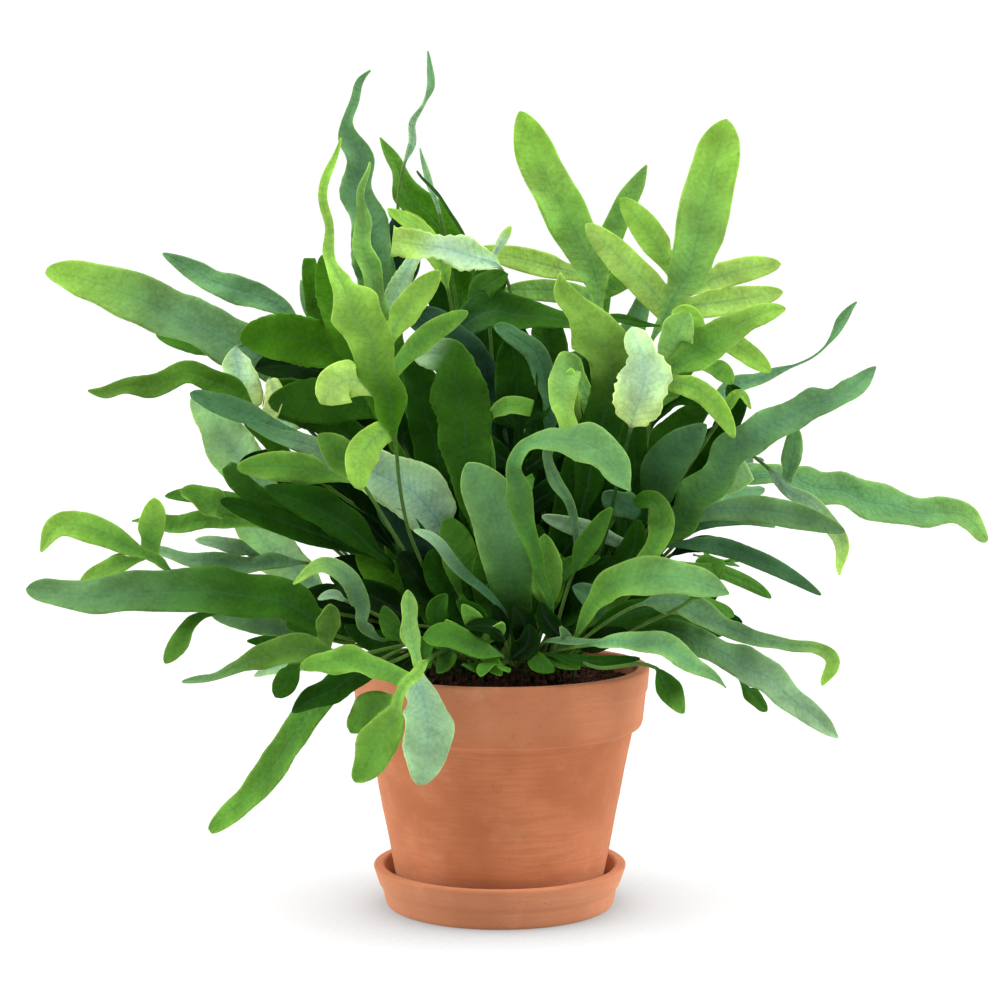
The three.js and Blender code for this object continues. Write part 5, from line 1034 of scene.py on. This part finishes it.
def lobe_base(blade, lobe):
    """The stations of the blade that a lobe grows from, the middle one of them, and its hand: 1 or -1."""
    place = blade["place"]
    reach = blade["web"] * lobe["width"] / 2 / blade["length"]
    middle = max(lobe["at"], reach + LOBE["clear"])
    base = np.nonzero(np.abs(place - middle) <= reach + TINY)[0]
    root = base[np.argmin(np.abs(place[base] - middle))]
    hand = 1 if np.dot(lobe["tip"] - blade["centre"][root], blade["side"][root]) > 0 else -1
    return base, root, hand


def add_lobe(sheet, blade, lobe, row, tone, rng):
    """Grows a lobe out of the blade's edge, from the points between its start and end."""
    base, root, hand = lobe_base(blade, lobe)
    edge = -1 if hand > 0 else 0
    base_row = blade["grid"][base, edge]
    known = np.concatenate(sheet.points)
    start, base_points = known[blade["grid"][root, edge]], known[base_row]
    tip, bend = lobe["tip"], lobe["bend"]
    length = np.linalg.norm(tip - start)
    if bend is None:
        bend = mix(start, tip, LOBE["bend_at"]) + blade["side"][root] * hand * LOBE["bend_out"] * length
    rows = max(FINE["least_rows"], round(length / FINE["spacing"]))
    share = (np.arange(1, rows + 1) / rows)[:, None]
    centre = arc(start, bend, tip, share)
    way = arc_way(start, bend, tip, share)
    side = unit(np.cross(blade["up"][root], way)) * hand
    up = np.cross(way, side) * hand

    base_half = np.linalg.norm(base_points[-1] - base_points[0]) / 2
    end = share - LOBE["narrow_from"]
    taper = np.where(end < 0, 1, np.clip(np.cos(math.pi * end), 0, 1) ** LOBE["narrow"])
    full = mix(base_half, lobe["width"] / 2, smooth(share / LOBE["grow"]))
    column = np.linspace(-1, 1, len(base))
    along = share * length
    edges = [margin(rng, row) for _ in range(2)]
    outline = np.where(column < 0, edges[0](along), edges[1](along))
    half = np.maximum(LOBE["tip"], full * taper)
    phase = 2 * math.pi * WAVE["per_lobe"] * share + WAVE["per_frond"] * lobe["width"] + column
    ruffle = MARGIN["ruffle"] * row["ruffle"] * ripple(rng, MARGIN["ruffle_length"])(along + column)
    fold = BLADE["fold"] + varied(rng, "fold", along)
    rise = cross_rise(column, half, fold, WAVE["size"] * row["wave"] * np.sin(phase), ruffle)

    reached = half * mix(1, outline, np.abs(column))
    formed = centre[:, None] + side[:, None] * (reached * column)[..., None] + up[:, None] * rise[..., None]
    moved = base_points[None] + (centre - start)[:, None]
    points = mix(moved, formed, smooth(share / LOBE["join"])[..., None])
    whole, across = np.broadcast_arrays(mix(lobe["at"], 1, share), column)
    tones = tone_at(row, tone or row["base"], tone or row["tip"], whole, across)
    numbers = np.vstack([base_row[None], sheet.add(points, thickness(half, column, BLADE["rib"]), tones)])
    shares = np.vstack([[[0.0]], share]) * np.ones(len(base))
    veins = np.stack([np.vstack([[[base_half]], half]) * column, shares * length], -1)
    forms = np.stack([np.abs(column) * np.ones_like(shares), shares], -1)
    sheet.fill(numbers, veins, forms, flipped=hand > 0)


def leaf_tones(row, place, shares, columns, shade):
    """Colours of a leaf without its lobes: the stem's, which darkens towards its foot, and the blade's."""
    blade_tone = tone_at(row, row["base"], row["tip"], shares, columns)
    blade_tone = blade_tone * (1 + shade)[..., None]
    spot = place[:, None, None]
    above_foot = smooth((1 + spot) / STALK["foot_fade"])
    stem_tone = mix(linear(TONES["foot"]), linear(TONES[row["stem"]]), above_foot)
    return mix(blade_tone, stem_tone, smooth(1 - (spot - STALK["tone_end"]) / STALK["tone_fade"]))


def places_on(spine):
    """Where the rows of a leaf's mesh are: from -1 to 0 on its stalk and from 0 to 1 on its blade, and as
    shares of its whole length."""
    blade_rows = max(FINE["least_rows"], round(spine.blade_length / FINE["spacing"]))
    stalk_length = spine.total * spine.blade_start
    stalk_rows = max(FINE["least_stalk_rows"], round(stalk_length / FINE["stalk_spacing"]))
    place = np.concatenate([np.arange(-stalk_rows, 0) / stalk_rows, np.linspace(0, 1, blade_rows + 1)])
    return place, np.where(place < 0, (1 + place) * spine.blade_start, mix(spine.blade_start, 1, place))


def leaf_sheet(row, index):
    """A leaf's sheet: stalk, blade and lobes. The order of the random draws gives each leaf its form."""
    rng = np.random.default_rng(index)
    spine = spine_of(row)
    sheet = Sheet()
    place, along = places_on(spine)
    centre, _, side, up = spine.frames(along)
    inside = np.clip(place, 0, 1)[:, None]
    distance = inside * spine.blade_length
    started = smooth(inside / WAVE["start"])
    column = np.linspace(-1, 1, FINE["columns"] + 1)
    on_stalk = place[:, None] < 0

    half = np.where(on_stalk, STALK["half_width"], half_widths(row, spine, inside))
    waves = max(1, round(spine.blade_length / WAVE["length"]))
    phase = 2 * math.pi * waves * inside + WAVE["per_frond"] * index + WAVE["across"] * column
    ruffles = [ripple(rng, MARGIN["ruffle_length"])(distance) for _ in range(2)]
    ruffle = MARGIN["ruffle"] * row["ruffle"] * started * np.where(column < 0, ruffles[0], ruffles[1])
    fold = BLADE["fold"] + started * varied(rng, "fold", distance)
    rise = cross_rise(column, half, fold, WAVE["size"] * row["wave"] * started * np.sin(phase), ruffle)
    rise = np.where(on_stalk, 0, rise)
    centre = centre + side * started * row["sway"] * varied(rng, "sway", distance)
    turn = started * varied(rng, "twist", distance)
    side, up = side * np.cos(turn) + up * np.sin(turn), up * np.cos(turn) - side * np.sin(turn)
    edges = [margin(rng, row)(distance) for _ in range(2)]
    outline = np.where(on_stalk, 1, np.where(column < 0, edges[0], edges[1]))
    reached = half * mix(1, outline, np.abs(column)) * column
    points = centre[:, None] + side[:, None] * reached[..., None] + up[:, None] * rise[..., None]

    rib = mix(STALK["half_thickness"], BLADE["rib"], smooth(inside / BLADE["rib_run"]))
    round_stalk = STALK["half_thickness"] * np.sqrt(np.maximum(STALK["least_round"], 1 - column ** 2))
    thick = mix(round_stalk, thickness(half, column, rib), smooth(inside / BLADE["grow"]))
    shares, columns = np.broadcast_arrays(inside, column)
    grid = sheet.add(points, thick, leaf_tones(row, place, shares, columns, varied(rng, "shade", distance)))
    lengths = np.broadcast_to(along[:, None] * spine.total, rise.shape)
    sheet.fill(grid, np.stack([half * column, lengths], -1), np.stack([np.abs(columns), shares], -1))
    blade = {"length": spine.blade_length, "web": row["web"]}
    for key, values in (("place", place), ("grid", grid), ("centre", centre), ("side", side), ("up", up)):
        blade[key] = values[place >= 0]
    for lobe, tone in zip_longest(lobes_of(row, spine), row["lobe_tones"]):
        add_lobe(sheet, blade, lobe, row, tone, rng)
    return sheet


def leaf_piece(name, row, index, materials):
    """A fine leaf, with the leaf materials given."""
    piece = thickened(name, leaf_sheet(row, index), materials)
    return piece


class Graph:
    """A material's nodes, with short ways to add and join them."""

    def __init__(self, name):
        self.material = bpy.data.materials.new(name)
        self.material.use_nodes = True
        self.tree = self.material.node_tree
        self.tree.nodes.clear()
        self.out = self.tree.nodes.new("ShaderNodeOutputMaterial")

    def put(self, kind, inputs=None, **settings):
        """Adds a node with its settings, and sets or links its inputs."""
        made = self.tree.nodes.new(kind)
        for key, value in settings.items():
            setattr(made, key, value)
        for key, value in (inputs or {}).items():
            if isinstance(value, bpy.types.NodeSocket):
                self.tree.links.new(value, made.inputs[key])
            else:
                made.inputs[key].default_value = value
        return made

    def maths(self, operation, *values):
        return self.put("ShaderNodeMath", dict(enumerate(values)), operation=operation).outputs[0]

    def ramp(self, value, low, high, out_low=0.0, out_high=1.0):
        """A smooth step of a value from low to high."""
        inputs = {"Value": value, "From Min": low, "From Max": high, "To Min": out_low, "To Max": out_high}
        return self.put("ShaderNodeMapRange", inputs, interpolation_type="SMOOTHSTEP").outputs[0]

    def blend(self, share, a, b, kind="MIX"):
        """A mix of two colours, given as sockets or as colours in linear light. For colours, the node's
        inputs 6 and 7 and its output 2 count."""
        made = self.put("ShaderNodeMix", {0: share}, data_type="RGBA", blend_type=kind)
        for slot, value in ((6, a), (7, b)):
            if isinstance(value, bpy.types.NodeSocket):
                self.tree.links.new(value, made.inputs[slot])
            else:
                made.inputs[slot].default_value = (*value, 1)
        return made.outputs[2]

    def times(self, colour, factor):
        """A colour times a factor, which is given as a socket or as a colour."""
        return self.blend(1.0, colour, factor, "MULTIPLY")

    def noise(self, scale, detail=3.0, roughness=0.5, vector=None):
        """A noise between 0 and 1, in the plant's own space, with a scale per metre."""
        vector = vector or self.put("ShaderNodeTexCoord").outputs["Object"]
        inputs = {"Vector": vector, "Scale": scale, "Detail": detail, "Roughness": roughness}
        return self.put("ShaderNodeTexNoise", inputs).outputs[0]

    def bump(self, height, distance, strength, normal=None):
        inputs = {"Height": height, "Distance": distance, "Strength": strength}
        if normal is not None:
            inputs["Normal"] = normal
        return self.put("ShaderNodeBump", inputs).outputs[0]

    def split(self, vector):
        """The three parts of a vector."""
        return self.put("ShaderNodeSeparateXYZ", {0: vector}).outputs

    def finish(self, surface):
        self.tree.links.new(surface, self.out.inputs["Surface"])
        return self.material


def leaf_veins(g):
    """A blade's veins as strengths: the side veins with the net between them, the midrib, how much all
    fade towards the tip, how much the finer ones fade towards the edge too, and the share across."""
    across, along, _ = g.split(g.put("ShaderNodeUVMap", uv_map="veins").outputs[0])
    share_across, share_along, _ = g.split(g.put("ShaderNodeUVMap", uv_map="form").outputs[0])
    across = g.maths("ABSOLUTE", across)
    bent = g.maths("MULTIPLY", g.noise(VEIN["bend_scale"]), VEIN["bend"])
    slanted = g.maths("ADD", g.maths("MULTIPLY_ADD", across, -VEIN["slant"], along), bent)
    beside = g.maths("PINGPONG", slanted, VEIN["spacing"] / 2)
    side_vein = g.ramp(beside, VEIN["width"], 0.0)
    net_place = g.put("ShaderNodeCombineXYZ", {0: across, 1: along}).outputs[0]
    net = g.put("ShaderNodeTexVoronoi", {"Vector": net_place, "Scale": 1 / VEIN["net"]},
                feature="DISTANCE_TO_EDGE").outputs["Distance"]
    net_vein = g.ramp(net, VEIN["net_width"], 0.0)
    veined = g.maths("MAXIMUM", side_vein, g.maths("MULTIPLY", net_vein, VEIN["net_share"]))
    midrib = g.ramp(across, VEIN["rib_width"], VEIN["rib_width"] * VEIN["rib_core"])
    fading = g.ramp(share_along, 0.0, 1.0, 1.0, VEIN["fade"])
    towards_edge = g.ramp(share_across, VEIN["edge_from"], VEIN["edge_to"], 1.0, VEIN["edge_fade"])
    return veined, midrib, fading, g.maths("MULTIPLY", fading, towards_edge), share_across


def leaf_material(name, face):
    """A blade's face: mottled, with a midrib, side veins, a net between them, and light through it."""
    g = Graph(name)
    veined, midrib, fading, inner, share_across = leaf_veins(g)
    mottle = g.ramp(g.noise(*LEAF["mottle_noise"]), *LEAF["range"])
    fine = g.noise(*LEAF["grain_noise"])
    grain = g.maths("MULTIPLY_ADD", fine, LEAF["grain"], 1 - (LEAF["mottle"] + LEAF["grain"]) / 2)
    shade = g.maths("MULTIPLY_ADD", mottle, LEAF["mottle"], grain)
    colour = g.put("ShaderNodeAttribute", attribute_name="tone").outputs["Vector"]
    colour = g.times(colour, g.put("ShaderNodeCombineXYZ", {0: shade, 1: shade, 2: shade}).outputs[0])
    if face["tint"]:
        colour = g.times(colour, face["tint"])
    ribbed = g.maths("MULTIPLY", midrib, fading)
    colour = g.blend(g.maths("MULTIPLY", veined, inner), colour, LEAF["vein"], "MULTIPLY")
    colour = g.blend(ribbed, colour, LEAF["rib"], "MULTIPLY")
    colour = g.blend(ribbed, colour, LEAF["rib_light"], "ADD")
    colour = g.blend(g.ramp(share_across, LEAF["rim_from"], 1.0), colour, LEAF["rim"], "MULTIPLY")

    relief = g.maths("MULTIPLY_ADD", midrib, face["rib_relief"], fine)
    relief = g.maths("MULTIPLY_ADD", veined, LEAF["vein_relief"], relief)
    crinkled = g.bump(g.noise(*LEAF["crinkle_noise"]), LEAF["crinkle_depth"], LEAF["crinkle"])
    normal = g.bump(relief, LEAF["bump_depth"], LEAF["bump"], crinkled)
    surface = g.put("ShaderNodeBsdfPrincipled", {
        "Base Color": colour, "Normal": normal, "Specular IOR Level": LEAF["gloss"],
        "Roughness": g.ramp(g.noise(LEAF["rough_scale"]), *LEAF["range"], *face["rough"]),
    }).outputs[0]
    through = g.times(colour, LEAF["through"])
    glow = g.put("ShaderNodeBsdfTranslucent", {"Color": through, "Normal": normal}).outputs[0]
    both = g.put("ShaderNodeMixShader", {0: LEAF["through_share"], 1: surface, 2: glow})
    return g.finish(both.outputs[0])


def clay_material():
    """Unglazed clay: warm, with fine throwing lines, grains and a pale bloom of salts."""
    g = Graph("clay")
    place = g.put("ShaderNodeTexCoord").outputs["Object"]
    stretch = (1, 1, CLAY["line_flatness"])
    stretched = g.put("ShaderNodeMapping", {"Vector": place, "Scale": stretch}).outputs[0]
    broad = g.ramp(g.noise(*CLAY["broad_noise"], place), *CLAY["broad_range"])
    lines = g.noise(*CLAY["line_noise"], stretched)
    grain = g.noise(*CLAY["grain_noise"], place)
    bloom = g.ramp(g.noise(*CLAY["bloom_noise"], place), *CLAY["bloom_range"], 0.0, CLAY["bloom_share"])
    specks = g.ramp(g.noise(*CLAY["speck_noise"], place), *CLAY["speck_range"])
    colour = g.blend(broad, linear(CLAY["deep"]), linear(CLAY["light"]))
    lined = g.ramp(lines, *CLAY["line_range"], 0.0, CLAY["line_share"])
    colour = g.blend(lined, colour, linear(CLAY["line"]))
    height = g.split(place)["Z"]
    paler = g.maths("ADD", g.ramp(height, *PALER["band"]), g.ramp(height, *PALER["saucer"]))
    colour = g.blend(g.maths("ADD", bloom, paler), colour, linear(CLAY["bloom"]))
    colour = g.blend(g.maths("MULTIPLY", specks, CLAY["speck_share"]), colour, linear(CLAY["speck"]))
    normal = g.bump(grain, *CLAY["grain_bump"], g.bump(lines, *CLAY["line_bump"]))
    surface = g.put("ShaderNodeBsdfPrincipled", {
        "Base Color": colour, "Roughness": g.ramp(broad, 0.0, 1.0, *CLAY["rough"]), "Normal": normal,
        "Specular IOR Level": CLAY["gloss"], "Sheen Weight": CLAY["dust"],
        "Sheen Roughness": CLAY["dust_rough"], "Sheen Tint": (*linear(CLAY["bloom"]), 1),
    })
    return g.finish(surface.outputs[0])


def grainy_material(name, stuff):
    """A dull, grainy stuff in three colours: the deep, the usual and the light one."""
    g = Graph(name)
    clump = g.noise(stuff["scale"], *GRAINY["clump_noise"])
    grain = g.noise(stuff["scale"] * GRAINY["finer"], *GRAINY["grain_noise"])
    deep, usual, light = (linear(colour) for colour in stuff["colours"])
    colour = g.blend(g.ramp(clump, *GRAINY["clump_range"]), deep, usual)
    colour = g.blend(g.ramp(grain, *GRAINY["grain_range"]), colour, light)
    surface = g.put("ShaderNodeBsdfPrincipled", {
        "Base Color": colour, "Roughness": g.ramp(grain, *GRAINY["rough_range"], *GRAINY["rough"]),
        "Normal": g.bump(g.maths("ADD", clump, grain), GRAINY["depth"], stuff["bump"]),
        "Specular IOR Level": GRAINY["gloss"],
    })
    return g.finish(surface.outputs[0])


def rounded(outline):
    """An outline with its inner corners rounded off."""
    points = [np.array(point, float) for point in outline]
    steps = TURNED["corner_steps"]
    found = [points[0]]
    for before, corner, after in zip(points, points[1:], points[2:]):
        into, away = before - corner, after - corner
        cut = min(TURNED["corner"], np.linalg.norm(into) / 2, np.linalg.norm(away) / 2)
        a, b = corner + unit(into) * cut, corner + unit(away) * cut
        found += [arc(a, corner, b, step / steps) for step in range(steps + 1)]
    return found + [points[-1]]


def finely(outline, spacing):
    """An outline with more points on its long stretches."""
    found = [outline[0]]
    for a, b in zip(outline, outline[1:]):
        steps = max(1, math.ceil(np.linalg.norm(b - a) / spacing))
        found += [a + (b - a) * step / steps for step in range(1, steps + 1)]
    return np.array(found)


def ring_grid(count, sides):
    """Numbers of the points of a count of rings, the first of each ring again at its end, and quads
    between the rings."""
    grid = np.arange(count * sides).reshape(count, sides)
    grid = np.concatenate([grid, grid[:, :1]], 1)
    quads = np.stack([grid[:-1, :-1], grid[:-1, 1:], grid[1:, 1:], grid[1:, :-1]], -1)
    return grid, quads.reshape(-1, 4)


def welded(name, points, quads, material):
    """A piece whose points on one spot are joined."""
    piece = make_mesh(name, np.array(points), quads, materials=[material])
    piece.modifiers.new("weld", "WELD").merge_threshold = TURNED["merge"]
    return piece


def unevenness(turn, height, key):
    """How far a turned surface stands out by its wobble or its rings, at a turn round it and a height."""
    across = TURNED[key + "_round"]
    spot = Vector((math.cos(turn) * across, math.sin(turn) * across, height / TURNED[key + "_up"]))
    return TURNED[key] * noise.noise(spot)


def turned(name, outline, material):
    """A thrown clay shell from its outline, with faint rings and a hand-made wobble."""
    rings = finely(rounded(outline), TURNED["spacing"])
    sides = TURNED["sides"]
    points = []
    for radius, height in rings:
        for side in range(sides):
            turn = 2 * math.pi * side / sides
            reach = radius
            if radius > TURNED["axis"]:
                reach += unevenness(turn, height, "wobble") + unevenness(turn, height, "ring")
            points.append((reach * math.cos(turn), reach * math.sin(turn), height))
    return welded(name, points, ring_grid(len(rings), sides)[1], material)


def stand_for(node):
    """Hides the model's node, whose place a fine piece takes."""
    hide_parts(node)


def inner_wall(height):
    """The radius of the pot's inside at a height."""
    low, high = POT["base"] - POT["wall"], POT["lip"] - POT["wall"]
    return low + (high - low) * (height - POT["stand"]) / (POT["lip_height"] - POT["stand"])


def pot_pieces(clay):
    """The saucer and the pot, from the outlines of their walls."""
    s, p = SAUCER, POT
    saucer = turned("fine_saucer", [
        (0, 0), (s["base"], 0), (s["band_foot"], s["band_foot_height"]), (s["band"], s["band_height"]),
        (s["rim"], s["height"]), (s["rim"] - s["wall"], s["height"]), (s["floor_reach"], s["floor"]),
        (0, s["floor"]),
    ], clay)
    floor = p["stand"] + p["floor"]
    pot = turned("fine_pot", [
        (p["drain"], p["stand"]), (p["base"], p["stand"]), (p["shoulder"], p["shoulder_height"]),
        (p["band_foot"] - p["neck_in"], p["shoulder_height"] + p["neck"]),
        (p["band_foot"], p["band_foot_height"]), (p["crease"], p["crease_height"]),
        (p["crease"] + p["crease_step"], p["crease_height"] + p["crease_rise"]),
        (p["lip"], p["lip_height"]), (p["lip"] - p["wall"], p["lip_height"]), (inner_wall(floor), floor),
        (p["drain"], floor), (p["drain"], p["stand"]),
    ], clay)
    stand_for("saucer")
    stand_for("pot")


def soil_height(radius, edge):
    """The height of the soil's mound at a radius, where its edge has the radius edge."""
    return SOIL["level"] + SOIL["mound"] * (1 - (radius / edge) ** 2)


def soil_piece(material):
    """The potting mix: a lumpy top, and plain sides against the pot."""
    floor = POT["stand"] + POT["floor"] + GAP
    foot, edge = inner_wall(floor) - GAP, inner_wall(SOIL["level"]) - GAP
    steps, sides = EARTH["rings"], EARTH["sides"]
    rings = [(foot * share, floor) for share in EARTH["floor_rings"]]
    rings += [(edge * (1 - step / steps), None) for step in range(steps + 1)]
    points = []
    for radius, height in rings:
        for side in range(sides):
            turn = 2 * math.pi * side / sides
            x, y = radius * math.cos(turn), radius * math.sin(turn)
            lump = 0
            if height is None:
                spot = Vector((x, y, 0)) / EARTH["lump_size"]
                lump = EARTH["lump"] * noise.fractal(spot, *EARTH["lump_fractal"])
            points.append((x, y, (soil_height(radius, edge) if height is None else height) + lump))
    piece = welded("fine_soil", points, ring_grid(len(rings), sides)[1], material)
    stand_for("soil")


def crumb_piece(material):
    """Loose crumbs of bark and coir on the soil, joined in one piece."""
    rng = np.random.default_rng(CRUMBS["seed"])
    edge = POT["lip"] - POT["wall"] - CRUMBS["margin"]
    cube = np.array([(x, y, z) for x in (-1, 1) for y in (-1, 1) for z in (-1, 1)], float)
    sides = np.array([(0, 1, 3, 2), (4, 6, 7, 5), (0, 4, 5, 1), (2, 3, 7, 6), (0, 2, 6, 4), (1, 5, 7, 3)])
    points, quads = [], []
    for k in range(CRUMBS["count"]):
        radius, turn = edge * math.sqrt(rng.uniform(0, 1)), rng.uniform(0, 2 * math.pi)
        size = rng.uniform(*CRUMBS["size"]) * rng.uniform(*CRUMBS["flat"], 3)
        spin = np.linalg.qr(rng.normal(size=(3, 3)))[0]
        spin[:, 0] *= np.sign(np.linalg.det(spin))
        x, y = radius * math.cos(turn), radius * math.sin(turn)
        heap = CRUMBS["heap"] * math.exp(-((y - CRUMBS["heap_line"]) / CRUMBS["heap_reach"]) ** 2)
        height = soil_height(radius, edge) + CRUMBS["rise"] + heap * rng.uniform(0, 1)
        shape = (cube * rng.uniform(*CRUMBS["corner"], (len(cube), 1)) * size) @ spin.T
        points.append(shape + (x, y, height))
        quads.append(sides + len(cube) * k)
    piece = make_mesh("soil_crumbs", np.concatenate(points), np.concatenate(quads), materials=[material])
    piece.data.polygons.foreach_set("use_smooth", np.zeros(len(piece.data.polygons), bool))


def outward(way, turn):
    """The direction out of a level stem at a turn round it, where a quarter turn is up."""
    return np.array([-way[1] * math.cos(turn), way[0] * math.cos(turn), math.sin(turn)])


def rhizome_body(name):
    """Points of a creeping stem, ring by ring, and its quads with those of its two ends."""
    rings, sides = SCALES["rings"], SCALES["sides"]
    points = []
    for ring in range(rings + 1):
        centre, way, radius = rhizome_at(name, 0.5 - 0.5 * math.cos(math.pi * ring / rings))
        swell = 1 + SCALES["swell"] * noise.noise(Vector(centre) / SCALES["swell_size"])
        for side in range(sides):
            points.append(centre + radius * swell * outward(way, 2 * math.pi * side / sides))
    grid, quads = ring_grid(rings + 1, sides)
    ends = []
    for cap in (grid[0, :-1][::-1], grid[rings, :-1]):
        ends += [(cap[0], cap[k], cap[k + 1], cap[k + 2]) for k in range(1, sides - 2, 2)]
    return points, [quads, np.array(ends)]


def rhizome_piece(name, material, index):
    """A creeping stem with its coat of narrow golden scales."""
    rng = np.random.default_rng(SCALES["seed"] + index)
    points, quads = rhizome_body(name)
    for _ in range(SCALES["count"]):
        centre, way, radius = rhizome_at(name, rng.uniform(*SCALES["ends"]))
        out = outward(way, rng.uniform(-SCALES["below"], math.pi + SCALES["below"]))
        lean = unit(way * rng.choice([-1, 1]) + out * rng.uniform(*SCALES["lean"]))
        width = np.cross(lean, out) * rng.uniform(*SCALES["half_width"])
        foot = centre + out * radius * SCALES["sink"]
        end = foot + lean * rng.uniform(*SCALES["length"]) * SCALES["middle"] + out * SCALES["arch"]
        corners = [foot - width, foot + width, end + width * SCALES["taper"], end - width * SCALES["taper"]]
        quads.append(len(points) + np.arange(len(corners))[None])
        points += corners
    piece = make_mesh("fine_" + name, np.array(points), np.concatenate(quads), materials=[material])
    stand_for(name)


def studio_world():
    """Even white light from all round, dimmer from the front."""
    world = bpy.data.worlds.new("studio")
    world.use_nodes = True
    tree = world.node_tree
    split = tree.nodes.new("ShaderNodeSeparateXYZ")
    tree.links.new(tree.nodes.new("ShaderNodeTexCoord").outputs["Generated"], split.inputs[0])
    ramp = tree.nodes.new("ShaderNodeMapRange")
    ramp.interpolation_type = "SMOOTHSTEP"
    tree.links.new(split.outputs["Y"], ramp.inputs["Value"])
    limits = {"From Min": "front_from", "From Max": "front_to", "To Min": "front", "To Max": "sky"}
    for socket, key in limits.items():
        ramp.inputs[socket].default_value = STAGE[key]
    tree.links.new(ramp.outputs[0], tree.nodes["Background"].inputs["Strength"])
    tree.nodes["Background"].inputs["Color"].default_value = (1, 1, 1, 1)
    return world


def floor_material():
    """A pale floor with a soft shade where something stands on it."""
    g = Graph("floor")
    shade, glow = STAGE["floor_shade"], STAGE["floor_glow"]
    open_share = g.put("ShaderNodeAmbientOcclusion", {"Distance": STAGE["contact_reach"]},
                       samples=STAGE["contact_samples"]).outputs["AO"]
    contact = g.ramp(open_share, *STAGE["contact_range"], glow - STAGE["floor_contact"], glow)
    surface = g.put("ShaderNodeBsdfPrincipled", {
        "Base Color": (shade, shade, shade, 1), "Roughness": STAGE["floor_rough"],
        "Specular IOR Level": 0.0, "Emission Color": (1, 1, 1, 1), "Emission Strength": contact,
    })
    return g.finish(surface.outputs[0])


def stage():
    """A pale floor, light from all round, two soft lights from the sides and the photograph's camera."""
    scene = bpy.context.scene
    scene.view_settings.view_transform = "Standard"
    mesh = bpy.data.meshes.new("floor")
    size = STAGE["floor"]
    corners = [(-size, -size, 0), (size, -size, 0), (size, size, 0), (-size, size, 0)]
    mesh.from_pydata(corners, [], [(0, 1, 2, 3)])
    mesh.materials.append(floor_material())
    placed("floor", mesh)
    scene.world = studio_world()
    for name, (place, strength) in STAGE["lights"].items():
        lamp = bpy.data.lights.new(name, "SUN")
        lamp.angle = math.radians(STAGE["softness"])
        lamp.energy = strength
        light = placed(name, lamp)
        light.location = place
        light.rotation_euler = (-Vector(place)).to_track_quat("-Z", "Y").to_euler()
    lens = bpy.data.cameras.new("camera")
    lens.sensor_width = VIEW["sensor"]
    lens.lens = VIEW["focal"] / VIEW["width"] * VIEW["sensor"]
    scene.camera = placed("camera", lens)
    scene.camera.location = (0, -VIEW["distance"] * MM, VIEW["height"] * MM)
    scene.camera.rotation_euler = (math.radians(90 - VIEW["tilt"]), 0, 0)


def main():
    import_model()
    stage()
    clay = clay_material()
    soil = grainy_material("soil", EARTH)
    scales = grainy_material("rhizome", SCALES)
    leaves = [leaf_material(name, face) for name, face in LEAF_FACES.items()]
    pot_pieces(clay)
    soil_piece(soil)
    crumb_piece(soil)
    for index, name in enumerate(RHIZOMES):
        rhizome_piece(name, scales, index)
    for index, (name, row) in enumerate(FRONDS.items()):
        piece = leaf_piece("fine_" + name, row, index, leaves)
        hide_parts(name)
    for kind, rows in (("young_leaf", YOUNG), ("inner_leaf", INNER), ("thicket_leaf", thicket())):
        for index, row in enumerate(rows):
            leaf_piece(f"{kind}_{index + 1}", row, index, leaves)


main()
